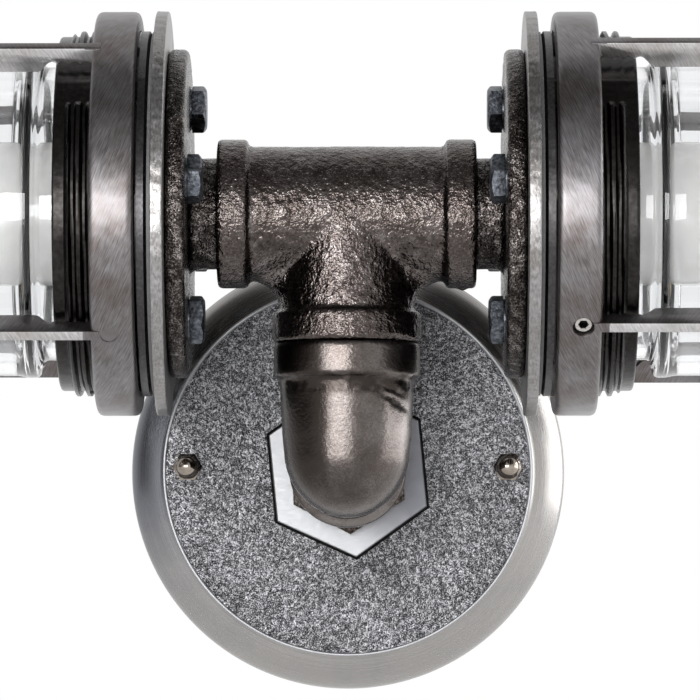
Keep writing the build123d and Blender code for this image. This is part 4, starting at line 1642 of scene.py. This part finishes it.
@dataclass
class Lamp:
    """One lamp: flange, disc, threaded body, glass and guard."""

    side: Side
    rib_angle: float
    screw_rib: int
    body: str = "fixture"
    tee_end: float = 33.3
    shank: float = 13.0
    pipe_bore: float = 10.4
    pipe_radius: float = 13.35
    hub_radius: float = 14.3
    flange_start: float = 40.5
    flange_radius: float = 42.35
    flange_edge: float = 1.8
    flange_grains: tuple[float, float] = (1.1, 2.2)
    flange_skin: float = 0.12
    flange_seed: int = 31
    flange_steps: int = 320
    flange_tone: float = 0.6
    disc_start: float = 45.6
    disc_radius: float = 52.15
    disc_end: float = 48.7
    disc_edge: float = 0.4
    disc_rough: float = 0.16
    disc_sink: float = 0.06
    disc_seed: int = 41
    disc_grains: tuple[float, float] = (1.1, 0.8)
    disc_stretch: float = 0.25
    disc_steps: int = 420
    body_start: float = 49.7
    body_radius: float = 47.0
    wire_hole: float = 10.0
    floor_start: float = 57.7
    thread_start: float = 52.3
    thread_end: float = 69.7
    thread_pitch: float = 2.9
    thread_root: float = 45.6
    thread_floor: float = 0.22
    thread_flank: float = 0.5
    break_start: float = math.radians(32.0)
    break_arc: float = math.radians(26.0)
    break_taper: float = math.radians(2.2)
    seam_angle: float = math.radians(42.0)
    seam_width: float = math.radians(0.5)
    seam_rise: float = 0.12
    body_skin: float = 0.03
    body_grain: float = 2.4
    body_seed: int = 51
    body_steps: int = 360
    body_sharp: float = 40.0
    body_end: float = 73.4
    body_bore: float = 38.2
    bolt_circle: float = 28.5
    bolt_flats: float = 11.1
    bolt_height: float = 4.2
    bolt_radius: float = 3.175
    bolt_tip: float = 56.7
    bolt_turn: float = math.radians(13.5)
    bolts: int = 4
    bolt_steps: int = 72
    bolt_slope: float = 0.62
    bolt_sharp: float = 28.0
    ring_start: float = 52.9
    ring_end: float = 64.0
    ring_bore: float = 47.25
    ring_radius: float = 52.0
    ring_edge: float = 1.8
    ribs: int = 4
    rib_outer: float = 52.25
    rib_inner: float = 45.0
    rib_thickness: float = 2.8
    rib_edge: float = 0.35
    rib_root: float = 2.2
    rib_bend: float = 165.0
    rib_sharp: float = 30.0
    scallop_step: float = 0.36
    scallop_rise: float = 0.8
    guard_end: float = 196.0
    guard_tip: float = 203.25
    guard_hub: float = 17.0
    guard_arm: float = 14.0
    guard_sharp: float = 34.0
    screw_station: float = 59.3
    screw_radius: float = 2.45
    screw_top: float = 50.75
    screw_length: float = 3.6
    screw_gap: float = 0.3
    screw_steps: int = 48
    socket_flats: float = 2.2
    socket_depth: float = 1.8
    socket_reach: float = 1.3
    plug_low: float = 40.0
    plug_high: float = 60.0
    plug_steps: int = 40
    dimple_low: float = 51.7
    dimple_radius: float = 2.1
    hub_steps: int = 96
    jar_start: float = 59.7
    jar_end: float = 180.0
    jar_neck: float = 37.8
    jar_neck_end: float = 77.5
    jar_bead: float = 42.2
    jar_bead_start: float = 79.1
    jar_bead_end: float = 82.3
    jar_body_start: float = 84.3
    jar_body: float = 41.7
    jar_end_radius: float = 27.7
    jar_wall: float = 3.0

    def name(self, piece: str) -> str:
        """A piece's name with the side in front."""
        return f"{self.side.word}_{piece}"

    def place(self, along: np.ndarray, radius: np.ndarray, angle: np.ndarray) -> np.ndarray:
        """Points round this lamp's axis."""
        return lamp_points(self.side, along, radius, angle)

    def turned(self, piece: str, grid: Turned, sharp: float = SHARP) -> Piece:
        """Object made of a turned grid on this lamp's axis."""
        name = self.name(piece)
        return add(name, grid.mesh(name, self.place, sharp))

    def build_flange(self) -> None:
        """Rough black flange with its hub and the shank in the tee."""
        corners = [
            (self.tee_end - self.shank, self.pipe_bore),
            (self.tee_end - self.shank, self.pipe_radius),
            (self.tee_end, self.pipe_radius),
            (self.tee_end, self.hub_radius, 0.4),
            (self.flange_start, self.hub_radius, 3.0),
            (self.flange_start, self.flange_radius, self.flange_edge),
            (self.disc_start, self.flange_radius, self.flange_edge),
            (self.disc_start, self.pipe_bore),
        ]
        grid = Turned.from_outline(outline(corners, 0.8), self.flange_steps)
        height = grid.skin(self.place, *self.flange_grains, self.flange_seed)
        bare = (grid.radius > self.pipe_radius + 0.5) & (grid.along < self.disc_start - 0.2)
        rim = grid.radius > self.flange_radius - 0.2
        rise = np.where(bare, self.flange_skin, 0.0) * height
        grid.radius = grid.radius + np.where(rim | (grid.along < self.flange_start - 0.6), rise, 0)
        grid.along = grid.along - np.where(rim, 0, rise)
        piece = self.turned("flange", grid, ROUGH_SHARP)
        remember(piece.data, (0.5 + self.flange_tone * height).ravel())
        dress(piece, Slot.black_casting, self.body, self.name("pipe_flange"))

    def bolt_place(self, along: np.ndarray, radius: np.ndarray, angle: np.ndarray) -> np.ndarray:
        """Points round a bolt straight ahead of an axis through the origin."""
        y = -self.bolt_circle - radius * np.cos(angle)
        return np.stack([self.side.value * along, y, radius * np.sin(angle)], axis=-1)

    def bolt_pattern(self) -> Piece:
        """One hex bolt in front of the axis, with its head toward the tee.

        Returns:
            The pattern.
        """
        turn, flats = hexagon(self.bolt_flats, self.bolt_steps, 0.0)
        half, seat = self.bolt_flats / 2, self.flange_start
        corner_cut = np.clip(flats - half * 0.97, 0, None) * self.bolt_slope
        head = seat - self.bolt_height
        levels = [
            (head, half * 0.55),
            (head, half * 0.86),
            (head + 0.12, half * 0.93),
            (head + 0.3 + corner_cut, flats * 0.992),
            (head + 0.7 + corner_cut, flats),
            (seat - 0.7, flats),
            (seat - 0.4, flats * 0.985),
            (seat - 0.35, half * 0.95),
            (seat + 0.1, half * 0.95),
            (seat + 0.1, self.bolt_radius),
            (self.bolt_tip - 0.6, self.bolt_radius),
            (self.bolt_tip, self.bolt_radius - 0.6),
        ]
        rings = Turned.from_levels(turn, levels).rings(self.bolt_place)
        return add("bolt_pattern", rings_mesh("bolt_pattern", rings, self.bolt_sharp))

    def round_axis(self, piece: str, pattern: Piece, count: int, turn: float, slot: Slot) -> Piece:
        """Copies of a pattern round the lamp's axis.

        Args:
            piece: Name without the side.
            pattern: One copy, straight ahead of an axis through the origin.
            count: How many copies go round.
            turn: Angle of the first, upward from straight ahead.
            slot: Finish of the copies.

        Returns:
            The copies as one object.
        """
        name, centre = self.name(piece), Vector((0, LAMP_Y, LAMP_Z)) * MM
        copies = Copies(name, pattern, slot.material, count, centre, turn=-turn, sweep=-FULL_TURN)
        return copies.build()

    def build_bolts(self) -> None:
        """Bolts through the flange."""
        slot = Slot.bolt_oxide
        bolts = self.round_axis("bolts", self.bolt_pattern(), self.bolts, self.bolt_turn, slot)
        dress(bolts, slot, self.body, self.name("flange_bolts"))

    def build_disc(self) -> None:
        """Steel disc with a rough-cut edge."""
        start, end = self.disc_start, self.disc_end
        line = ring_outline(start, end, self.pipe_bore, self.disc_radius, self.disc_edge, 0.7)
        grid = Turned.from_outline(line, self.disc_steps)
        points = self.place(grid.along, grid.radius, grid.angle).reshape(-1, 3)
        along_cut = points * np.array([self.disc_stretch, 1, 1])
        strong = grain(points, self.disc_grains[0], self.disc_seed)
        weak = grain(along_cut, self.disc_grains[1], self.disc_seed + 1)
        rough = (STRONG_SHARE * strong + (1 - STRONG_SHARE) * weak).reshape(grid.radius.shape)
        edge = np.clip((grid.radius - self.disc_radius + 1.2) / 1.0, 0, 1)
        grid.radius = grid.radius + self.disc_rough * rough * edge - self.disc_sink * edge
        disc = self.turned("disc", grid, ROUGH_SHARP)
        dress(disc, Slot.raw_steel, self.body, self.name("mounting_disc"))

    def thread(self, along: np.ndarray, angle: np.ndarray) -> np.ndarray:
        """Radius of the body's outside, with a thread broken at its two seams.

        Args:
            along: Distance from the tee's middle.
            angle: Turn from straight ahead, upward.

        Returns:
            The radius at each place.
        """
        hand = -self.side.value
        turn = (along - self.thread_start) / self.thread_pitch - hand * angle / FULL_TURN
        phase = np.abs(np.mod(turn, 1.0) - 0.5) * 2
        ridge = np.clip((phase - self.thread_floor) / self.thread_flank, 0, 1)
        ridge = ridge * ridge * (3 - 2 * ridge)
        inside = np.mod(angle - self.break_start, math.pi)
        edge = np.minimum(inside, self.break_arc - inside)
        gap = np.clip(edge / self.break_taper + 0.5, 0, 1)
        gap *= inside < self.break_arc + self.break_taper
        runout = np.clip((self.thread_end + 0.7 - along) / 1.0, 0, 1)
        depth = self.body_radius - self.thread_root
        return self.thread_root + depth * ridge * (1 - gap) * runout

    def build_body(self) -> None:
        """Cast body: floor, bore for the jar, broken thread outside and a plain lip."""
        corners = [
            (self.body_start, self.wire_hole),
            (self.body_start, self.body_radius, 0.5),
            (self.thread_start, self.body_radius),
            (self.thread_start + 0.02, self.body_radius),
            (self.thread_end + 1.0, self.thread_root),
            (self.body_end, self.thread_root, 0.8),
            (self.body_end, self.body_bore, 0.5),
            (self.floor_start, self.body_bore, 0.5),
            (self.floor_start, self.wire_hole),
        ]
        line = outline(corners, 0.3)
        busy = (line[:, 1] > self.body_bore + 1) & (line[:, 0] > self.body_start + 0.5)
        keep = busy | (np.arange(len(line)) % 8 == 0) | (np.abs(line[:, 1] - self.body_bore) < 0.6)
        grid = Turned.from_outline(line[keep], self.body_steps)
        on_thread = (grid.along > self.thread_start + 0.01) & (grid.along < self.thread_end + 1.0)
        on_thread &= grid.radius > self.body_bore + 2
        grid.radius = np.where(on_thread, self.thread(grid.along, grid.angle), grid.radius)
        seam = np.mod(grid.angle - self.seam_angle + QUARTER_TURN, math.pi) - QUARTER_TURN
        ridge = np.exp(-(seam / self.seam_width) ** 2) * (grid.radius > self.thread_root - 0.3)
        points = self.place(grid.along, grid.radius, grid.angle).reshape(-1, 3)
        skin = grain(points, self.body_grain, self.body_seed).reshape(ridge.shape)
        outside = grid.radius > self.body_bore + 1
        grid.radius = grid.radius + self.seam_rise * ridge + self.body_skin * skin * outside
        casting = self.turned("lamp_casting", grid, self.body_sharp)
        two_finishes(
            casting, Slot.body_casting, Slot.foot_casting,
            lambda face: abs(face.center.x) / MM < self.thread_start)
        dress(casting, Slot.body_casting, self.body, self.name("lamp_body"))

    def rib_line(self) -> Outline:
        """Closed side view of one rib, along and radius, scalloped over the thread.

        Returns:
            Points of the line, one row each.
        """
        bend = np.linspace(0, QUARTER_TURN, 15)
        notch_end = self.body_end + 2.0
        scallop = np.arange(self.ring_end + 0.4, notch_end, self.scallop_step)
        wave = np.sin(math.pi * (scallop - self.ring_end) / self.thread_pitch)
        lift = self.scallop_rise * np.abs(wave)
        root = self.ring_end - self.rib_root
        corners: list[Corner] = [(root, self.rib_outer)]
        for radius, turns in ((self.rib_outer, bend), (self.rib_inner, bend[::-1])):
            corners += arc(self.rib_bend, self.guard_arm, radius - self.guard_arm, turns)
        corners += [(notch_end + 2.0, self.rib_inner, 0.8)]
        corners += [(s, self.ring_bore + rise) for s, rise in zip(scallop[::-1], lift[::-1])]
        corners += [(root, self.ring_bore + 1.0)]
        return outline(corners, 4.0)

    def rib_pattern(self) -> Piece:
        """One rib in front of the axis, with eased edges.

        Returns:
            The pattern.
        """
        line = self.rib_line()
        after = np.roll(line, -1, axis=0)
        step = after - np.roll(line, 1, axis=0)
        step /= np.linalg.norm(step, axis=1)[:, None]
        area = float(np.sum(line[:, 0] * after[:, 1] - after[:, 0] * line[:, 1]))
        inward = np.stack([-step[:, 1], step[:, 0]], axis=-1) * math.copysign(1.0, area)
        half, ease = self.rib_thickness / 2, self.rib_edge
        levels = [(-half, ease), (-half + 0.3 * ease, 0.3 * ease), (-half + ease, 0.0)]
        levels += [(-level, inset) for level, inset in levels[::-1]]
        rings = []
        for level, inset in levels:
            along, radius = (line + inward * inset).T
            across = np.full(len(line), level)
            rings.append(np.stack([self.side.value * along, -radius, across], axis=-1))
        mesh = rings_mesh("rib_pattern", rings, self.rib_sharp)
        surface = mesh.uv_layers.new(name="surface")
        corner_point = np.empty(len(mesh.loops), dtype=np.int32)
        mesh.loops.foreach_get("vertex_index", corner_point)
        x, y, z = (mesh_points(mesh)[corner_point] * MM).T
        surface.data.foreach_set("uv", np.stack([z - y, x], -1).astype(np.float32).ravel())
        return add("rib_pattern", mesh)

    def screw_axis(self, rib: int) -> tuple[np.ndarray, np.ndarray, np.ndarray]:
        """Line out of the guard ring at one of the ribs.

        Args:
            rib: Which rib.

        Returns:
            A point on the lamp's axis, the way out and the way across.
        """
        angle = self.rib_angle + rib * FULL_TURN / self.ribs
        centre = np.array([self.side.value * self.screw_station, LAMP_Y, LAMP_Z])
        out = np.array([0, -math.cos(angle), math.sin(angle)])
        return centre, out, np.array([0, math.sin(angle), math.cos(angle)])

    def screw_mesh(self, name: str, rib: int, turn: np.ndarray,
                   levels: Sequence[tuple[object, object]], sharp: float) -> Mesh:
        """Round or hexagonal solid about a line out of the guard ring.

        Args:
            name: Name of the mesh.
            rib: Which rib the line leaves at.
            turn: Angles of the steps that go round.
            levels: Distance from the lamp's axis and radius of each ring.
            sharp: Edge angle, in degrees, that stays crisp.

        Returns:
            The mesh.
        """
        centre, out, across = self.screw_axis(rib)
        along = np.array([1.0, 0, 0])

        def place(level: np.ndarray, radius: np.ndarray, angle: np.ndarray) -> np.ndarray:
            """Points round the line."""
            rim = np.cos(angle)[..., None] * along + np.sin(angle)[..., None] * across
            return centre + out * level[..., None] + radius[..., None] * rim

        return rings_mesh(name, Turned.from_levels(turn, levels).rings(place), sharp)

    def plug(self, rib: int, low: float, radius: float) -> Piece:
        """Round helper solid that points out of the guard ring.

        Args:
            rib: Which rib it points out at.
            low: Distance of its inner end from the lamp's axis.
            radius: Its own radius.

        Returns:
            The helper object.
        """
        turn = np.linspace(0, FULL_TURN, self.plug_steps, endpoint=False)
        ends = [(low, radius), (self.plug_high, radius)]
        return add("plug", self.screw_mesh("plug", rib, turn, ends, SHARP))

    def build_guard(self) -> None:
        """Guard: ring, four ribs on edge and an end disc, as one casting."""
        start, end, tip = self.ring_start, self.ring_end, self.guard_tip - 0.1
        line = ring_outline(start, end, self.ring_bore, self.ring_radius, self.ring_edge, 2.0)
        ring = self.turned("guard_casting", Turned.from_outline(line, SEGMENTS))
        line = ring_outline(self.guard_end, tip, 0.0, self.guard_hub, 1.0, 2.0)
        hub = self.turned("guard_hub", Turned.from_outline(line, self.hub_steps))
        slot = Slot.guard_metal
        ribs = self.round_axis("ribs", self.rib_pattern(), self.ribs, self.rib_angle, slot)
        boolean(ring, ribs, "UNION")
        boolean(ring, hub, "UNION")
        hole = self.plug(self.screw_rib, self.plug_low, self.screw_radius + self.screw_gap)
        boolean(ring, hole, "DIFFERENCE")
        if self.screw_rib:
            boolean(ring, self.plug(0, self.dimple_low, self.dimple_radius), "DIFFERENCE")

        def under_front_rib(face: Face) -> bool:
            """Whether a face looks down from one of the ribs in front."""
            on_rib = end + 0.05 < abs(face.center.x) / MM < self.rib_bend
            return on_rib and face.center.y / MM < LAMP_Y and face.normal.z < 0.2

        # Painted light: front rib faces that don't look up get the lighter rib finish as painted
        # highlight, and their upward faces keep the ring's darker finish as painted shade.
        two_finishes(ring, slot, Slot.rib_metal, under_front_rib)
        shade(ring.data, self.guard_sharp)
        dress(ring, slot, self.name("guard_body"), self.name("guard"))

    def build_screw(self) -> None:
        """Socket set screw in the guard ring."""
        turn, socket = hexagon(self.socket_flats, self.screw_steps, 0.0)
        top, low = self.screw_top, self.screw_top - self.screw_length
        levels = [
            (low, self.screw_radius * 0.6),
            (low, self.screw_radius),
            (top - 0.35, self.screw_radius),
            (top, self.screw_radius - 0.4),
            (top, socket + 0.12),
            (top - 0.15, socket),
            (top - self.socket_depth, socket),
            (top - self.socket_depth, socket * 0.3),
        ]
        mesh = self.screw_mesh("socket_screw", self.screw_rib, turn, levels, HEX_SHARP)
        centre, out, _ = self.screw_axis(self.screw_rib)

        def in_socket(face: Face) -> bool:
            """Whether a face lies inside the socket.

            Args:
                face: A face of the screw.

            Returns:
                True inside the socket.
            """
            place = np.array(face.center) / MM - centre
            level = place @ out
            beside = np.linalg.norm(place - level * out)
            return beside < self.socket_reach and low + 0.1 < level < top - 0.1

        piece = add(self.name("socket_screw"), mesh)
        # Painted shade: the socket's faces get the near-black finish.
        two_finishes(piece, Slot.stainless, Slot.recess_cast, in_socket)
        dress(piece, Slot.stainless, self.name("guard_body"), self.name("set_screw"))

    def build_jar(self) -> None:
        """Clear jar with a neck, a shoulder bead and a rounded end."""
        wall, round_end = self.jar_wall, self.jar_end_radius
        crown, bend_from = self.jar_body - round_end, self.jar_end - round_end
        bend = np.linspace(0, QUARTER_TURN, 25)
        inner_flare = self.jar_neck_end + 2.0
        flare = self.jar_bead_start - self.jar_neck_end
        corners: list[Corner] = [
            (self.jar_start, self.jar_neck - wall, 1.2),
            (self.jar_start, self.jar_neck, 1.2),
            (self.jar_neck_end, self.jar_neck, 1.0),
            (self.jar_bead_start, self.jar_bead, 1.2),
            (self.jar_bead_end, self.jar_bead, 1.4),
            (self.jar_body_start, self.jar_body, 2.0),
            *arc(bend_from, crown, round_end, bend),
            (self.jar_end, 0.0),
            (self.jar_end - wall, 0.0),
            *arc(bend_from, crown, round_end - wall, bend[::-1]),
            (inner_flare + flare, self.jar_body - wall, 1.8),
            (inner_flare, self.jar_neck - wall, 1.8),
        ]
        jar = self.turned("jar", Turned.from_outline(outline(corners, 2.5), SEGMENTS), CAST_SHARP)
        dress(jar, Slot.clear_glass, self.name("jar"), self.name("glass_jar"))

    def dress_inside(self) -> None:
        """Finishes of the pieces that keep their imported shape."""
        finishes = {
            "body_gasket": Slot.grey_fibre,
            "jar_gasket": Slot.gasket_rubber,
            "lampholder": Slot.porcelain,
            "lampholder_screws": Slot.brass,
            "screw_shell": Slot.brass,
            "centre_contact": Slot.brass,
            "bulb_contact": Slot.brass,
            "bulb_insulator": Slot.black_glass,
            "bulb_cap": Slot.brass,
            "bulb_glass": Slot.bulb_clear,
            "bulb_stem": Slot.bulb_clear,
            "bulb_filament": Slot.filament_wire,
        }
        paint_nodes(finishes, self.name(""))

    def build(self) -> None:
        """Makes and dresses the whole lamp."""
        self.build_flange()
        self.build_bolts()
        self.build_disc()
        self.build_body()
        self.build_guard()
        self.build_screw()
        self.build_jar()
        self.dress_inside()


# Studio


@dataclass(frozen=True)
class SoftBox:
    """A rectangular soft light that looks at the lamps."""

    name: str
    place: Triple
    size: tuple[float, float]
    brightness: float
    target: Triple = (0.0, -0.05, 0.03)

    def build(self) -> None:
        """Adds the light."""
        lamp = bpy.data.lights.new(self.name, "AREA")
        lamp.shape = "RECTANGLE"
        lamp.size, lamp.size_y = self.size
        lamp.energy = self.brightness * math.pi * self.size[0] * self.size[1]
        aim(add(self.name, lamp), self.place, self.target)


@dataclass
class Studio:
    """Camera, lights, floor and surroundings."""

    eye: Triple = (0.008, -1.393, LAMP_Z * MM - 0.109)
    target: Triple = (0.0008, LAMP_Y * MM, LAMP_Z * MM - 0.0351)
    lens: float = 267.4
    floor_height: float = -0.16
    floor_size: float = 5.0
    ambient: float = 1.2
    glow_level: float = 2.0
    ahead_fade: tuple[float, float] = (0.1, 0.75)
    low_fade: tuple[float, float] = (0.2, 0.6)
    backdrop_fade: tuple[float, float] = (-0.15, 0.45)
    backdrop_level: float = 0.95
    room_level: float = 0.22
    glow: tuple[tuple[float, float], ...] = (
        (-1.0, 0.35),
        (-0.87, 0.5),
        (-0.6, 0.75),
        (-0.3, 0.95),
        (-0.12, 0.8),
        (0.25, 0.55),
        (0.45, 0.36),
        (0.7, 0.22),
        (1.0, 0.15),
    )
    boxes: tuple[SoftBox, ...] = field(
        default_factory=lambda: (
            SoftBox("front_box", (-0.4, -1.5, 0.055), (1.02, 0.54), 10.5),
            SoftBox("right_panel", (1.2, 0.2, 0.1), (1.4, 1.0), 3.8),
            SoftBox("top_strip", (0.0, 0.1, 1.2), (1.0, 0.2), 0.6),
        )
    )

    def clear(self) -> None:
        """Removes what a new file starts with."""
        for name in ("Cube", "Light", "Camera"):
            start = bpy.data.objects.get(name)
            if start is not None:
                bpy.data.objects.remove(start)

    def build_camera(self) -> None:
        """Camera at the photograph's viewing angle."""
        data = bpy.data.cameras.new("camera")
        data.lens = self.lens
        data.clip_end = 50
        camera = add("camera", data)
        aim(camera, self.eye, self.target)
        bpy.context.scene.camera = camera

    def build_floor(self) -> None:
        """Plain pale floor below the light."""
        half = self.floor_size / 2
        mesh = bpy.data.meshes.new("floor")
        corners = [(-half, -half), (half, -half), (half, half), (-half, half)]
        mesh.from_pydata([(x, y, self.floor_height) for x, y in corners], [], [(0, 1, 2, 3)])
        paper = CoatFinish((0.8, 0.8, 0.8), (0.84, 0.84, 0.84), 400.0, 0.7, 0.8, 0.0)
        mesh.materials.append(paper.build("floor_paper"))
        add("floor", mesh)

    def build_room(self) -> None:
        """White background, with a darker room in front for the metal to reflect."""
        world = bpy.data.worlds.new("room")
        bpy.context.scene.world = world
        world.use_nodes = True
        tree = world.node_tree
        tree.nodes.clear()
        rays = add_node(tree, "ShaderNodeLightPath").outputs
        where = add_node(tree, "ShaderNodeTexCoord").outputs["Generated"]
        split = add_node(tree, "ShaderNodeSeparateXYZ", Vector=where).outputs

        def step(operation: str, *values: object) -> Socket:
            """One sum on numbers or sockets."""
            return add_math(tree, operation, *values)

        def fade(source: Socket, start: float, end: float, level: float) -> Socket:
            """Number that rises smoothly from nothing to a level.

            Args:
                source: What it follows.
                start: Where the rise starts.
                end: Where it ends.
                level: The level.

            Returns:
                The number.
            """
            made = add_node(
                tree, "ShaderNodeMapRange", Value=source, From_Min=start, From_Max=end,
                To_Max=level)
            made.interpolation_type = "SMOOTHSTEP"
            return made.outputs["Result"]

        glow = add_node(tree, "ShaderNodeValToRGB", Fac=step("MULTIPLY_ADD", split["Z"], 0.5, 0.5))
        fill_ramp(glow.color_ramp, [((high + 1) / 2, (shine,) * 3) for high, shine in self.glow])
        ahead = fade(step("MULTIPLY", split["Y"], -1.0), *self.ahead_fade, self.glow_level)
        low = fade(step("MULTIPLY", split["Z"], -1.0), *self.low_fade, self.glow_level)
        around = step("MULTIPLY", glow.outputs["Color"], step("MAXIMUM", ahead, low))
        backdrop = fade(split["Y"], *self.backdrop_fade, self.backdrop_level)
        room = step("MAXIMUM", step("MAXIMUM", backdrop, around), self.room_level)
        seen = step("MAXIMUM", rays["Is Camera Ray"], rays["Is Transmission Ray"])
        glossy = step("MULTIPLY", rays["Is Glossy Ray"], room)
        matt = step("MULTIPLY", step("SUBTRACT", 1.0, rays["Is Glossy Ray"]), self.ambient)
        unseen = step("MULTIPLY", step("SUBTRACT", 1.0, seen), step("ADD", glossy, matt))
        sky = add_node(
            tree, "ShaderNodeBackground", Color=(*WHITE, 1), Strength=step("ADD", seen, unseen))
        add_node(tree, "ShaderNodeOutputWorld", Surface=sky.outputs["Background"])

    def build(self) -> None:
        """Sets up the whole studio."""
        self.build_camera()
        self.build_floor()
        self.build_room()
        for box in self.boxes:
            box.build()
        bpy.context.scene.view_settings.view_transform = "Standard"


def main() -> None:
    """Builds every sub-assembly in order."""
    logging.basicConfig(level=logging.INFO, format="%(message)s")
    studio = Studio()
    studio.clear()
    PipeFittings().build()
    WallSide().build()
    Lamp(Side.LEFT, rib_angle=math.radians(-40.4), screw_rib=3).build()
    Lamp(Side.RIGHT, rib_angle=math.radians(-37.7), screw_rib=0).build()
    studio.build()


if __name__ == "__main__":
    main()
